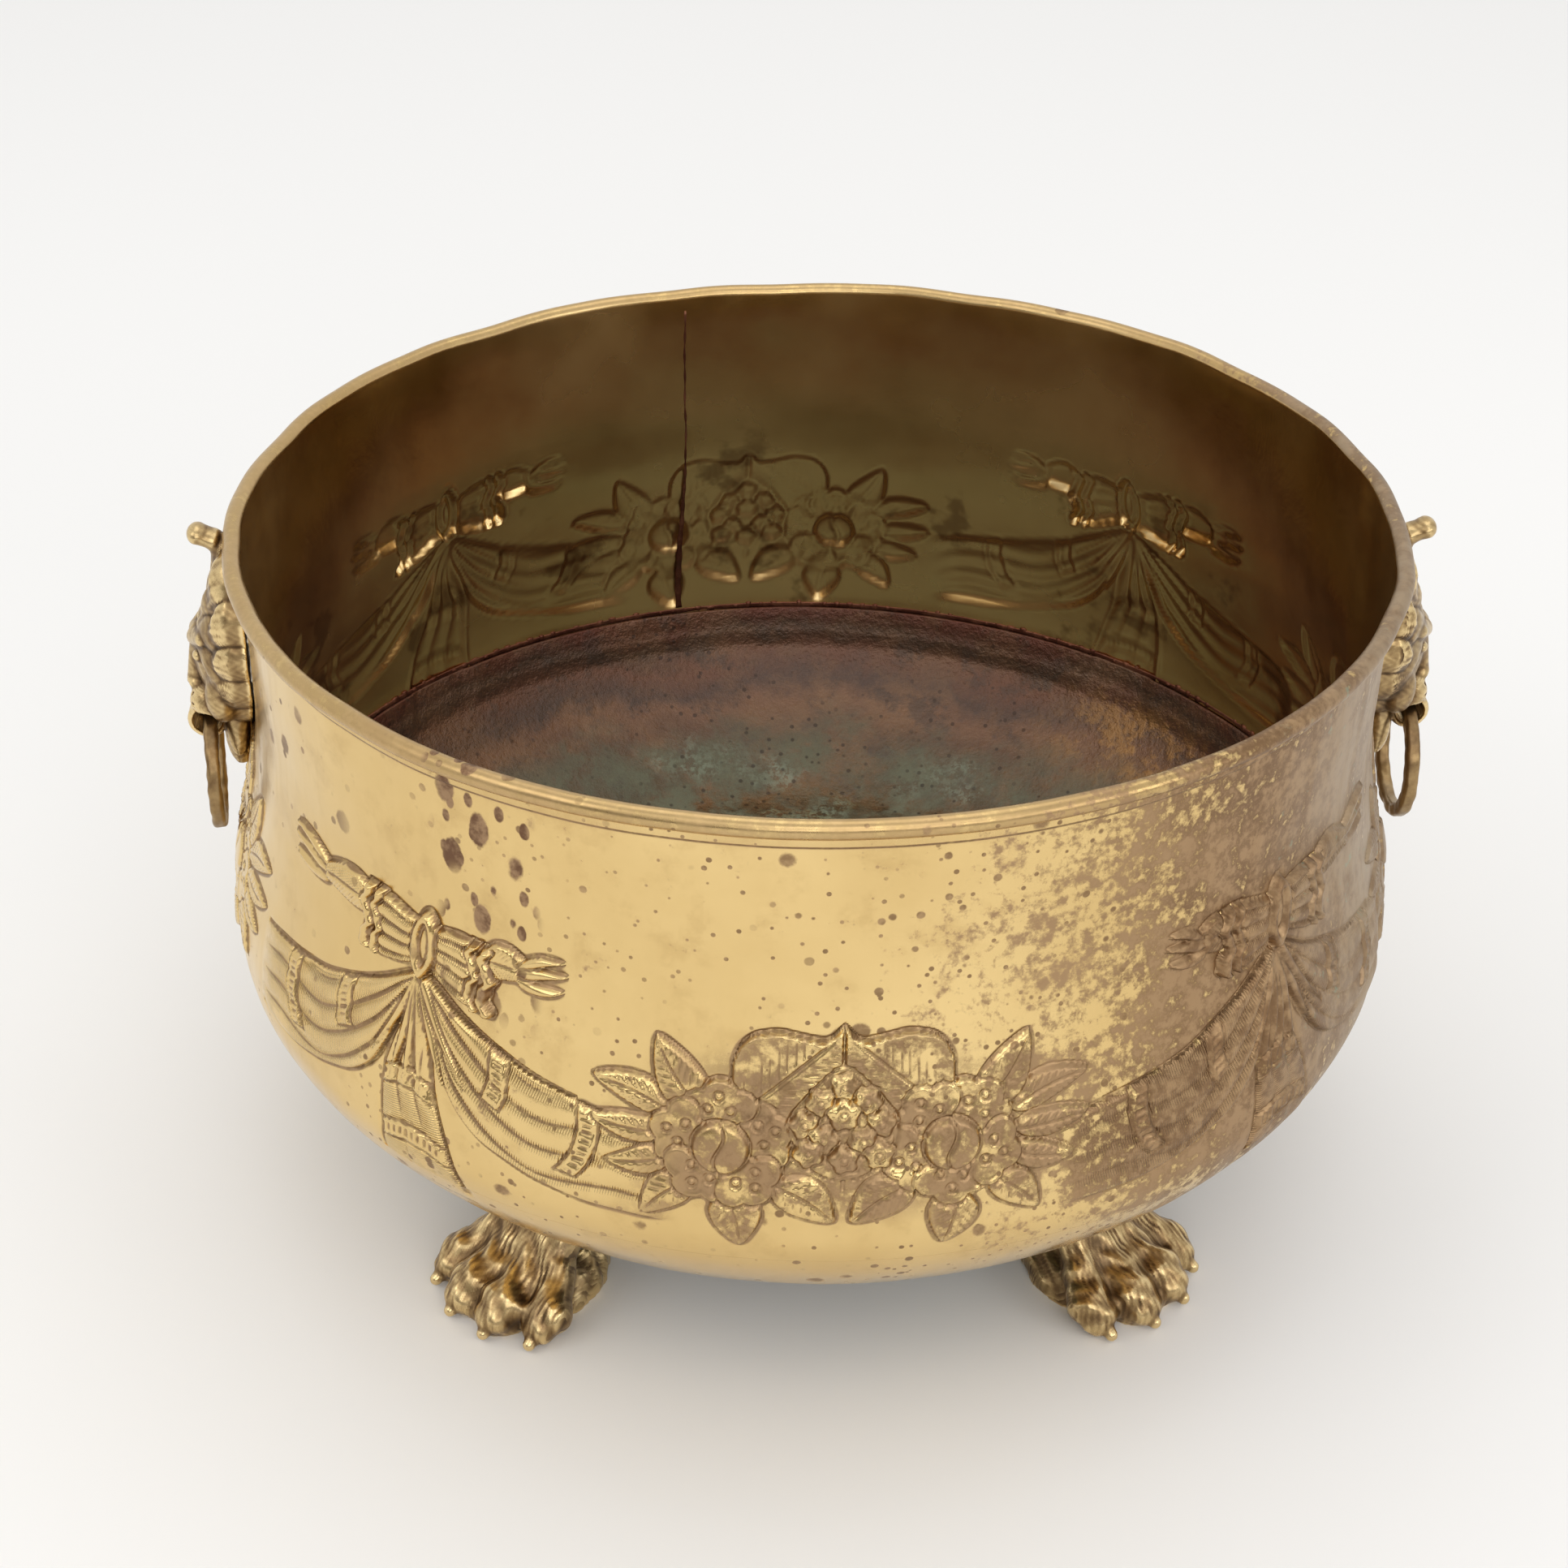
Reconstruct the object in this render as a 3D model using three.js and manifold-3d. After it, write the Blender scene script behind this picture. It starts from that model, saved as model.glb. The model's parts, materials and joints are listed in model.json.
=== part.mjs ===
// Footed brass planter: a seamed drum with a wired rim, a raised base pan brazed to it, four cast
// lion-paw feet, and two cast lion masks that each hold a loose ring handle in the mouth.
// Millimetres, +Z up. The origin is on the ground under the middle of the bowl; the handles are on
// -X (left) and +X (right), and the front faces -Y.
import * as THREE from "three";
import { mergeVertices } from "three/addons/utils/BufferGeometryUtils.js";
import Module from "manifold-3d";

const wasm = await Module();
wasm.setup();

// Bowl
const RIM_RADIUS = 175; // centre circle of the rolled rim
const RIM_HEIGHT = 227.5; // height of that circle
const SHEET = 1.2; // thickness of the sheet brass
const WIRE_RADIUS = 1.2; // wire inside the rolled rim
const WAIST_RADIUS = 172.4; // outside, under the rim
const WAIST_HEIGHT = 185; // where the wall begins to swell
const BELLY_RADIUS = 184.1; // widest, outside
const BELLY_HEIGHT = 100;
const PAN_EDGE_HEIGHT = 95; // top edge of the pan, inside the drum
const LAP = 4; // the pan's edge stands this far up inside the drum
const FLOOR_RADIUS = 126; // flat floor
const FLOOR_HEIGHT = 42; // its upper face
const CREASE_RADIUS = 131.5; // ridge round the flat floor
const CREASE_HEIGHT = 43;
const GAP = 0.3; // between pieces that touch
const TURN_STEPS = 48; // facets round the bowl
const CURL_STEPS = 6; // facets round the rolled rim

// Seams
const SIDE_SEAM_AZIMUTH = -167; // degrees from the front, positive towards +X
const SIDE_SEAM_WIDTH = 4;
const SPELTER = 0.6; // thickness of a brazing run

// Ring handles and the masks that hold them
const HINGE_RADIUS = 189.2; // from the bowl's axis to the hole through the mouth
const HINGE_HEIGHT = 160.1;
const MOUTH_HOLE_RADIUS = 4.5;
const LIP_RADIUS = 6.3; // round the mouth hole
const LIP_WIDTH = 14;
const RING_RADIUS = 19; // to the middle of its section
const RING_SECTION = 2.6; // radius of the section
const RING_SIDES = 8;
const RING_STEPS = 32;
const MASK_BACK = 175.6; // flat back of the casting, from the bowl's axis
const MASK_PLATE = 4;
const MASK_CENTRE = 190; // height of the plate's centre
const MASK_HALF_WIDTH = 24;
const MASK_HALF_HEIGHT = 33;
const MASK_CLEARANCE = 0.6; // to the wall where the casting comes nearest
const MASK_SOLDER_HALF_WIDTH = 13;
const MASK_SOLDER_HALF_HEIGHT = 22;
const MASK_SOLDER_CENTRE = 192; // height
const MASK_SOLDER_DEPTH = 20; // reaches into the bowl, which cuts it back

// Rounded masses of the mask on +X
const FACE = { centre: [180, 0, 188], radii: [14, 17, 24] }; // with the brow
const MUZZLE = { centre: [184, 0, HINGE_HEIGHT + 12.5], radii: [11, 11.5, 9.5] };
const CHIN = { centre: [180, 0, HINGE_HEIGHT - 5], radii: [4.5, 9, 12] }; // with the beard
const TUFT = { centre: [183.8, 0, 221.7], radii: [7, 5, 3.5] }; // curls out under the rim
const TUFT_NECK = { centre: [MASK_BACK + 2.9, 0, 213], size: [MASK_PLATE, 8, 18] }; // from plate to tuft

// Paw feet
const FOOT_AZIMUTHS = { front_left: -45, front_right: 45, back_right: 135, back_left: -135 };
const ANKLE_HALF_WIDTH = 17;
const TOES_HALF_WIDTH = 26;
const HEEL_RADIUS = 104; // from the bowl's axis to the back of the ankle
const ANKLE_RADIUS = 130; // front of the ankle, where the sides begin to fan out
const TOES_RADIUS = 148; // where they run straight again
const PAW_FRONT = 153; // front of the paw on the ground, between the toes
const PAW_TOP = 52; // inside the pan; the casting is cut back to the pan's underside
const INSTEP_RADIUS = 139; // the top of the foot slopes down from the ankle through here
const INSTEP_HEIGHT = 17;
const SOLE_RADIUS = 126; // the sole begins here and the sides rise behind it
const TOE_RADII = [9.5, 7, 9.5]; // out from the axis, across, up
const TOE_CENTRE_RADIUS = 149.5;
const TOE_CENTRE_HEIGHT = 6;
const TOE_SET_BACK = 2.2; // of the toes either side, by the square of their place
const PAW_SHELL = 4.5; // thickness of the cast paw
const PAW_SOLDER = 1.2; // between the paw and the pan
const PAW_SOLDER_RADIUS = 11;
const PAW_SOLDER_CENTRE = 118; // from the bowl's axis

const BEYOND = 400; // side of a cutting block that reaches past everything

const brass = (color, roughness) =>
  new THREE.MeshStandardMaterial({ color, roughness, metalness: 1 });
const sheetBrass = () => brass(0xd8b56a, 0.25);
const panBrass = () => brass(0x7a5238, 0.6);
const castBrass = () => brass(0x9c7a42, 0.4);
const spelterBrass = () => brass(0x6b4326, 0.6);
const softSolder = () => new THREE.MeshStandardMaterial({ color: 0xc9c7c0, roughness: 0.5, metalness: 1 });

const radians = THREE.MathUtils.degToRad;
const point = (radius, height) => new THREE.Vector2(radius, height);

// Solids, for the joins and cuts
function solid(geometry) {
  const bare = geometry.clone();
  bare.deleteAttribute("normal");
  bare.deleteAttribute("uv");
  const merged = mergeVertices(bare, 1e-4);
  const mesh = new wasm.Mesh({
    numProp: 3,
    vertProperties: new Float32Array(merged.attributes.position.array),
    triVerts: new Uint32Array(merged.index.array),
  });
  return new wasm.Manifold(mesh);
}

function geometryOf(made) {
  const mesh = made.getMesh();
  const geometry = new THREE.BufferGeometry();
  geometry.setAttribute("position", new THREE.BufferAttribute(mesh.vertProperties, 3));
  geometry.setIndex(new THREE.BufferAttribute(mesh.triVerts, 1));
  geometry.computeVertexNormals();
  return geometry;
}

// A closed profile of radius and height, turned about +Z. It runs up the outside and down the inside.
function turned(profile, steps = TURN_STEPS) {
  return new THREE.LatheGeometry(profile, steps).rotateX(Math.PI / 2);
}

// A shape drawn in radius and height, as wide as asked along Y and centred on it
function slab(shape, width) {
  const settings = { depth: width, bevelEnabled: false, curveSegments: 8 };
  const geometry = new THREE.ExtrudeGeometry(shape, settings);
  return geometry.translate(0, 0, -width / 2).rotateX(Math.PI / 2);
}

function ball(centre, radii, around = 12, down = 8) {
  const geometry = new THREE.SphereGeometry(1, around, down).scale(...radii);
  return solid(geometry.translate(...centre));
}

const joined = (solids) => solids.reduce((all, next) => all.add(next));

// Moves each point of an open outline sideways, to the right of the way it runs
function offset(points, distance) {
  return points.map((p, i) => {
    const before = points[Math.max(i - 1, 0)];
    const after = points[Math.min(i + 1, points.length - 1)];
    const along = after.clone().sub(before).normalize();
    return point(p.x + along.y * distance, p.y - along.x * distance);
  });
}

// Outside of the drum from the belly up to the waist, and of the pan from its floor up to the belly
const swell = new THREE.CubicBezierCurve(
  point(BELLY_RADIUS, BELLY_HEIGHT),
  point(BELLY_RADIUS, BELLY_HEIGHT + 26),
  point(WAIST_RADIUS, WAIST_HEIGHT - 35),
  point(WAIST_RADIUS, WAIST_HEIGHT),
).getPoints(5);
const tuck = new THREE.CubicBezierCurve(
  point(CREASE_RADIUS, CREASE_HEIGHT),
  point(166, 62),
  point(BELLY_RADIUS, BELLY_HEIGHT - 16),
  point(BELLY_RADIUS, BELLY_HEIGHT),
).getPoints(7);
const drumFoot = point(BELLY_RADIUS - 0.2, PAN_EDGE_HEIGHT - LAP);
const drumNeck = point(WAIST_RADIUS, RIM_HEIGHT - 9.5);
const floorEdge = point(FLOOR_RADIUS, FLOOR_HEIGHT - SHEET);
const drumOutside = [drumFoot, ...swell, drumNeck];
const panOutside = [floorEdge, ...tuck.filter((p) => p.y < drumFoot.y - 1)];
const bowlOutside = [floorEdge, ...tuck.slice(0, -1), ...swell, drumNeck];

function arc(radius, from, to) {
  const points = [];
  for (let i = 0; i <= CURL_STEPS; i++) {
    const angle = radians(from + ((to - from) * i) / CURL_STEPS);
    points.push(point(RIM_RADIUS + radius * Math.cos(angle), RIM_HEIGHT + radius * Math.sin(angle)));
  }
  return points;
}

// The drum's sheet runs up the wall and curls outwards over the wire; the curl stays open below
function drumWall() {
  const curlInside = WIRE_RADIUS + GAP;
  const overTheWire = arc(curlInside, 180, -110);
  const overTheTop = arc(curlInside + SHEET, 180, -110).reverse();
  const inside = offset(drumOutside, -SHEET).reverse();
  const profile = [...drumOutside, ...overTheWire, ...overTheTop, ...inside];
  return turned([...profile, profile[0]]);
}

function rimWire() {
  return turned(arc(WIRE_RADIUS, 0, 360));
}

function basePan() {
  const lapOutside = BELLY_RADIUS - SHEET - GAP;
  const outside = [point(0, floorEdge.y), ...panOutside];
  const step = point(BELLY_RADIUS - 0.3, drumFoot.y - GAP);
  const lap = [
    point(lapOutside, step.y),
    point(lapOutside, PAN_EDGE_HEIGHT),
    point(lapOutside - 1, PAN_EDGE_HEIGHT),
    point(lapOutside - 1, step.y),
  ];
  const inside = offset(panOutside, -SHEET).reverse();
  const floor = [...outside, step, ...lap, ...inside, point(0, FLOOR_HEIGHT)];
  return turned(floor);
}

// Brazing: a run down the inside of the drum's own seam, and a bead on the pan's edge all round
function sideSeamSpelter() {
  const front = offset(drumOutside, -(SHEET + GAP)).filter((p) => p.y > PAN_EDGE_HEIGHT + 3);
  const back = offset(front, -SPELTER).reverse();
  const band = solid(turned([...front, ...back, front[0]]));
  const blade = new THREE.BoxGeometry(SIDE_SEAM_WIDTH, RIM_RADIUS * 2, RIM_HEIGHT * 2);
  blade.translate(0, -RIM_RADIUS, 0).rotateZ(radians(SIDE_SEAM_AZIMUTH));
  return geometryOf(band.intersect(solid(blade)));
}

function panSeamSpelter() {
  const outer = BELLY_RADIUS - SHEET - GAP;
  const low = PAN_EDGE_HEIGHT + GAP;
  const corners = [point(outer, low), point(outer, low + 1.2), point(outer - SPELTER, low + 0.6)];
  const bead = [...corners, point(outer - 1, low), point(outer, low)];
  return turned(bead);
}

// Everything within the bowl's outside, grown by the clearance, for castings to be cut back from
function bowlGrown(clearance) {
  const skin = offset(bowlOutside, clearance);
  const base = point(0, skin[0].y);
  return solid(turned([base, ...skin, point(0, drumNeck.y)]));
}

// The mask on +X: a flat-backed plate with a domed face, a muzzle, and a lip with the ring's hole
function lionMask() {
  const outline = new THREE.Shape().absellipse(0, 0, MASK_HALF_WIDTH, MASK_HALF_HEIGHT, 0, Math.PI * 2);
  const settings = { depth: MASK_PLATE, bevelEnabled: false, curveSegments: 7 };
  const plate = new THREE.ExtrudeGeometry(outline, settings);
  plate.rotateX(Math.PI / 2).rotateZ(Math.PI / 2);
  plate.translate(MASK_BACK, 0, MASK_CENTRE);
  const lip = new THREE.CylinderGeometry(LIP_RADIUS, LIP_RADIUS, LIP_WIDTH, 16);
  lip.translate(HINGE_RADIUS, 0, HINGE_HEIGHT);
  const neck = new THREE.BoxGeometry(...TUFT_NECK.size).translate(...TUFT_NECK.centre);
  const hole = new THREE.CylinderGeometry(MOUTH_HOLE_RADIUS, MOUTH_HOLE_RADIUS, BEYOND, 16);
  hole.translate(HINGE_RADIUS, 0, HINGE_HEIGHT);
  const behind = new THREE.BoxGeometry(BEYOND, BEYOND, BEYOND);
  behind.translate(MASK_BACK - BEYOND / 2, 0, MASK_CENTRE);
  const masses = [FACE, MUZZLE, CHIN, TUFT].map((mass) => ball(mass.centre, mass.radii));
  const made = joined([solid(plate), ...masses, solid(lip), solid(neck)]);
  const trimmed = made.subtract(solid(hole)).subtract(solid(behind));
  return trimmed.subtract(bowlGrown(MASK_CLEARANCE));
}

// Soft solder that fills the space between the wall and the mask's flat back
function maskSolder() {
  const halfWidth = MASK_SOLDER_HALF_WIDTH;
  const depth = MASK_SOLDER_DEPTH;
  const outline = new THREE.Shape().absellipse(0, 0, halfWidth, MASK_SOLDER_HALF_HEIGHT, 0, Math.PI * 2);
  const pad = new THREE.ExtrudeGeometry(outline, { depth, bevelEnabled: false, curveSegments: 8 });
  pad.rotateX(Math.PI / 2).rotateZ(Math.PI / 2);
  pad.translate(MASK_BACK - GAP - depth, 0, MASK_SOLDER_CENTRE);
  return solid(pad).subtract(bowlGrown(GAP));
}

function ringHandle() {
  const section = [];
  for (let i = 0; i <= RING_SIDES; i++) {
    const angle = (i / RING_SIDES) * Math.PI * 2;
    section.push(point(RING_RADIUS + RING_SECTION * Math.cos(angle), RING_SECTION * Math.sin(angle)));
  }
  const geometry = new THREE.LatheGeometry(section, RING_STEPS);
  geometry.rotateZ(Math.PI / 2);
  return geometry.translate(HINGE_RADIUS, 0, HINGE_HEIGHT - RING_RADIUS);
}

// The paw on +X is a cast shell, open behind and below, that fans out from ankle to toes. Its side
// view in radius and height, drawn in by the inset, which is also left open at the back and below:
function pawSide(inset) {
  const shape = new THREE.Shape();
  const front = PAW_FRONT - inset;
  const ankle = ANKLE_RADIUS - inset;
  const instep = point(INSTEP_RADIUS - inset / 2, INSTEP_HEIGHT - inset);
  shape.moveTo(front, inset ? -1 : 0);
  shape.bezierCurveTo(front + 3, 8, front - 3, 15 - inset, instep.x, instep.y);
  shape.bezierCurveTo(instep.x - 6, instep.y + 2, ankle, 24 - inset, ankle, PAW_TOP);
  if (inset) {
    shape.lineTo(HEEL_RADIUS - 50, PAW_TOP);
    shape.lineTo(HEEL_RADIUS - 50, -1);
  } else {
    shape.lineTo(HEEL_RADIUS, PAW_TOP);
    shape.lineTo(HEEL_RADIUS, 30);
    shape.lineTo(SOLE_RADIUS, 0);
  }
  return shape;
}

// Its plan, narrow at the ankle and wide at the toes, as a block that reaches from below to above
function pawPlan(inset) {
  const back = HEEL_RADIUS - 10;
  const beyond = PAW_FRONT + 16;
  const side = [
    point(back, ANKLE_HALF_WIDTH - 3 - inset),
    point(ANKLE_RADIUS, ANKLE_HALF_WIDTH - inset),
    point(TOES_RADIUS, TOES_HALF_WIDTH - inset),
    point(beyond, TOES_HALF_WIDTH - inset),
  ];
  const otherSide = side.map((p) => point(p.x, -p.y)).reverse();
  const shape = new THREE.Shape([...side, ...otherSide]);
  return new THREE.ExtrudeGeometry(shape, { depth: 80, bevelEnabled: false }).translate(0, 0, -10);
}

function pawBody(inset) {
  return solid(slab(pawSide(inset), BEYOND)).intersect(solid(pawPlan(inset)));
}

function paw() {
  const outermost = 1.5; // the four toes stand at -1.5, -0.5, 0.5 and 1.5 places from the middle
  const toeSpacing = (TOES_HALF_WIDTH - TOE_RADII[1]) / outermost;
  const toes = [-outermost, -0.5, 0.5, outermost].map((toe) => {
    const reach = TOE_CENTRE_RADIUS - toe * toe * TOE_SET_BACK;
    return ball([reach, toe * toeSpacing, TOE_CENTRE_HEIGHT], TOE_RADII, 10, 8);
  });
  const underground = new THREE.BoxGeometry(BEYOND, BEYOND, BEYOND).translate(0, 0, -BEYOND / 2);
  const outside = joined([pawBody(0), ...toes]).subtract(solid(underground));
  const hollow = pawBody(PAW_SHELL).subtract(bowlGrown(PAW_SOLDER + 2 * GAP + PAW_SHELL));
  return outside.subtract(hollow).subtract(bowlGrown(PAW_SOLDER + 2 * GAP));
}

// Solder between the ankle and the pan
function pawSolder() {
  const post = new THREE.CylinderGeometry(PAW_SOLDER_RADIUS, PAW_SOLDER_RADIUS, BEYOND, 16);
  post.rotateX(Math.PI / 2).translate(PAW_SOLDER_CENTRE, 0, 0);
  const underneath = new THREE.BoxGeometry(BEYOND, BEYOND, BELLY_HEIGHT);
  underneath.translate(0, 0, BELLY_HEIGHT / 2);
  const pad = solid(post).intersect(solid(underneath));
  return pad.intersect(bowlGrown(PAW_SOLDER + GAP)).subtract(bowlGrown(GAP));
}

const planter = new THREE.Group();

function place(name, geometry, material, azimuth = 90) {
  const mesh = new THREE.Mesh(geometry, material);
  mesh.name = name;
  mesh.rotation.z = radians(azimuth - 90);
  planter.add(mesh);
}

place("drum_wall", drumWall(), sheetBrass());
place("rim_wire", rimWire(), sheetBrass());
place("base_pan", basePan(), panBrass());
place("side_seam_spelter", sideSeamSpelter(), spelterBrass());
place("pan_seam_spelter", panSeamSpelter(), spelterBrass());

const sides = { left: -90, right: 90 };
for (const [side, azimuth] of Object.entries(sides)) {
  place("lion_mask_" + side, geometryOf(lionMask()), castBrass(), azimuth);
  place("mask_solder_" + side, geometryOf(maskSolder()), softSolder(), azimuth);
  place("ring_" + side, ringHandle(), castBrass(), azimuth);
}

for (const [corner, azimuth] of Object.entries(FOOT_AZIMUTHS)) {
  place("paw_" + corner, geometryOf(paw()), castBrass(), azimuth);
  place("paw_solder_" + corner, geometryOf(pawSolder()), softSolder(), azimuth);
}

export default planter;
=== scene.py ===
import json
import math

import bmesh
import bpy
import numpy as np
from mathutils import Matrix, Vector


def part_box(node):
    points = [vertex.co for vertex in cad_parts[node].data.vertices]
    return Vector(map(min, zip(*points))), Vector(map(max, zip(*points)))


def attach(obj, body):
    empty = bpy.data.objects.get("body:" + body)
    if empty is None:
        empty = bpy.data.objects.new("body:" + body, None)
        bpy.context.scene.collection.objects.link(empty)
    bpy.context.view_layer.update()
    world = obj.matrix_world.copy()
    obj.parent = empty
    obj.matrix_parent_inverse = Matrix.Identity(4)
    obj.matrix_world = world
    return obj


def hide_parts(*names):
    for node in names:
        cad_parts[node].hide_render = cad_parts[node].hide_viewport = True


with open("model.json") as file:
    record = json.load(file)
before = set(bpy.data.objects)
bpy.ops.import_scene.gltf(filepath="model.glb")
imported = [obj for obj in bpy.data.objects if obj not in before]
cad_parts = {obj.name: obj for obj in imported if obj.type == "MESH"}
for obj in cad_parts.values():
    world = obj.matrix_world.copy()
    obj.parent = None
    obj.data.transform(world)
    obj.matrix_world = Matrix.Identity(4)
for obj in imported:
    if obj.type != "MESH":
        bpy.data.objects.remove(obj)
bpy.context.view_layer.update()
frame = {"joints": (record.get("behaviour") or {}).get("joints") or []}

# Lengths are in millimetres, which MM turns to metres; node trees work in metres. Azimuths are in
# degrees from the front of the pot, rising towards its right.
MM = 0.001


# ---------------------------------------------------------------------------------------------------
# Bowl outline. The pot was rolled, seamed and hammered from thin sheet, so it is a turned shape that
# is a little out of true: tilted at the rim, narrower front to back, and faintly dented all over.
wall_low, wall_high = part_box("drum_wall")
pan_low, pan_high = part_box("base_pan")
BEAD = 2.7
SHEET = 1.2
RIM_HEIGHT = wall_high.z / MM - BEAD
BELLY_RADIUS = wall_high.y / MM
RIM_RADIUS = BELLY_RADIUS - 9.1
WAIST_RADIUS = BELLY_RADIUS - 11.7
WAIST_HEIGHT = 185.0
BELLY_HEIGHT = 100.0
WALL_FOOT = wall_low.z / MM
CREASE_RADIUS = 131.5
CREASE_HEIGHT = 43.0
FLOOR_RADIUS = 126.0
FLOOR_UNDER = pan_low.z / MM
CURVE_STEPS = 200


def bezier(p0, p1, p2, p3):
    t = np.linspace(0, 1, CURVE_STEPS)[:, None]
    ends = (1 - t) ** 3 * np.array(p0) + t ** 3 * np.array(p3)
    return ends + 3 * t * (1 - t) * ((1 - t) * np.array(p1) + t * np.array(p2))


swell = bezier(
    (BELLY_RADIUS, BELLY_HEIGHT), (BELLY_RADIUS, BELLY_HEIGHT + 26),
    (WAIST_RADIUS, WAIST_HEIGHT - 35), (WAIST_RADIUS, WAIST_HEIGHT))
tuck = bezier(
    (CREASE_RADIUS, CREASE_HEIGHT), (166, 62),
    (BELLY_RADIUS, BELLY_HEIGHT - 16), (BELLY_RADIUS, BELLY_HEIGHT))
outline = np.vstack([tuck, swell[1:], [(WAIST_RADIUS + 1.0, RIM_HEIGHT + 20)]])


def outline_radius(height):
    return np.interp(height, outline[:, 1], outline[:, 0])


def ease(x, low, high):
    t = np.clip((x - low) / (high - low), 0, 1)
    return t * t * (3 - 2 * t)


def unevenness(azimuth, height):
    """Shallow hammered dents, in millimetres. Azimuth is in degrees from the front, height in mm."""
    a = np.radians(azimuth)
    waves = 0.16 * np.sin(7 * a + height * 0.05 + 0.6) * np.sin(height * 0.07 + 2 * a)
    waves = waves + 0.10 * np.sin(17 * a - height * 0.11) * np.sin(height * 0.13 + 5 * a + 1.0)
    return waves + 0.045 * np.sin(39 * a + height * 0.21) * np.sin(height * 0.29 - 23 * a)


def in_place(azimuth, radius, height):
    """Points in metres, from azimuth, radius and height, pulled as far out of true as the real pot is."""
    top = ease(height, 120.0, RIM_HEIGHT)
    a = np.radians(azimuth)
    ripple = 0.35 * np.sin(11 * a + 0.4) + 0.3 * np.sin(19 * a + 2.0) + 0.2 * np.sin(31 * a)
    near_rim = ease(height, RIM_HEIGHT - 22, RIM_HEIGHT)
    radius = radius + top * (-0.4 - 1.0 * np.cos(2 * a + 0.05)) + near_rim * ripple * 0.6
    height = height + top * (1.2 * np.sin(a) + 0.25 * np.sin(3 * a + 1)) + near_rim * ripple * 0.35
    x = radius * np.sin(a)
    y = -radius * np.cos(a)
    return np.stack([x + 0 * height, y + 0 * height, height + 0 * x], axis=-1) * MM


# Chasing. The bows, swags and flowers are pushed out from inside and outlined with a tracer punch.
# The relief is a height above the sheet, in millimetres, worked out once for the whole pot.
COLUMNS_PER_BAY = 360
BAYS = 6
SEAM_AZIMUTH = -167.0
ARC = math.radians(1) * 180.0
ROW = 0.56
SHOULDER = 0.4
TRACER = 0.6
relief_heights = WALL_FOOT + np.arange(-12, 160) * ROW
relief_azimuths = SEAM_AZIMUTH + np.arange(COLUMNS_PER_BAY * BAYS) * 360.0 / (COLUMNS_PER_BAY * BAYS)
relief = np.zeros((len(relief_heights), len(relief_azimuths)))
hatch_phase = np.zeros_like(relief)
hatch_depth = np.zeros_like(relief)


class Patch:
    """A window on the relief round one motif, in millimetres across and up from the motif's middle."""

    def __init__(self, azimuth, height, half_width, down, up, scale=1.0):
        turn = (relief_azimuths - azimuth + 180.0) % 360.0 - 180.0
        self.columns = np.where(np.abs(turn) * ARC < half_width)[0]
        self.rows = np.where((relief_heights > height - down) & (relief_heights < height + up))[0]
        self.grid = np.ix_(self.rows, self.columns)
        self.u = np.broadcast_to(turn[self.columns] * ARC, (len(self.rows), len(self.columns)))
        self.v = np.broadcast_to((relief_heights[self.rows] - height)[:, None], self.u.shape)
        self.scale = scale

    def lay(self, inside, rise, line=0.55, phase=None, depth=0.0):
        """Puts a shape over what is there. inside is its distance in from the edge, rise its height."""
        cover = ease(inside, -SHOULDER, SHOULDER)
        here = relief[self.grid] * (1 - cover) + rise * self.scale * cover
        relief[self.grid] = here - line * self.scale * np.exp(-(inside / TRACER) ** 2)
        keep = 1 - cover
        hatch_depth[self.grid] = hatch_depth[self.grid] * keep + depth * cover
        if phase is not None:
            hatch_phase[self.grid] = np.where(cover > 0.5, phase, hatch_phase[self.grid])


def turned_to(u, v, start, end):
    """Along and across coordinates of a line from start to end, and its length."""
    length = math.hypot(end[0] - start[0], end[1] - start[1])
    ca, sa = (end[0] - start[0]) / length, (end[1] - start[1]) / length
    along = (u - start[0]) * ca + (v - start[1]) * sa
    across = -(u - start[0]) * sa + (v - start[1]) * ca
    return along, across, length


def oval(u, v, centre, across, high):
    return (1 - np.hypot((u - centre[0]) / across, (v - centre[1]) / high)) * min(across, high)


def leaf(patch, start, end, width, bend=0.0, rise=2.0, veins=2.6, fullness=0.75):
    along, across, length = turned_to(patch.u, patch.v, start, end)
    t = np.clip(along / length, 0, 1)
    across = across - bend * np.sin(np.pi * t)
    half = width * np.sin(np.pi * t ** fullness) ** 0.8 + 0.01
    past_end = -np.hypot(across, np.where(along < 0, along, along - length))
    inside = np.where((along > 0) & (along < length), half - np.abs(across), past_end)
    crown = np.sqrt(np.clip(1 - (across / (half + 0.2)) ** 2, 0, 1))
    height = rise * (0.45 + 0.55 * crown) - 0.75 * np.exp(-(across / 0.55) ** 2)
    slant = along - np.abs(across) * 1.0
    cut = np.exp(-((slant / veins - np.round(slant / veins)) * veins / 0.42) ** 2)
    height = height - 0.42 * cut * ease(np.abs(across), 0.5, 1.4) * ease(half - np.abs(across), 0.4, 1.4)
    patch.lay(inside, height)


def strand(patch, start, end, width, bend=0.0, rise=1.7):
    along, across, length = turned_to(patch.u, patch.v, start, end)
    t = np.clip(along / length, 0, 1)
    across = across - bend * np.sin(np.pi * t)
    half = width * np.clip(1 - t ** 2.2, 0, 1) ** 0.8 * ease(t, -0.2, 0.12) + 0.01
    inside = np.where((along > 0) & (along < length), half - np.abs(across), -3.0)
    crown = np.sqrt(np.clip(1 - (across / (half + 0.2)) ** 2, 0, 1))
    patch.lay(inside, rise * (0.3 + 0.7 * crown), line=0.4)


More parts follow.
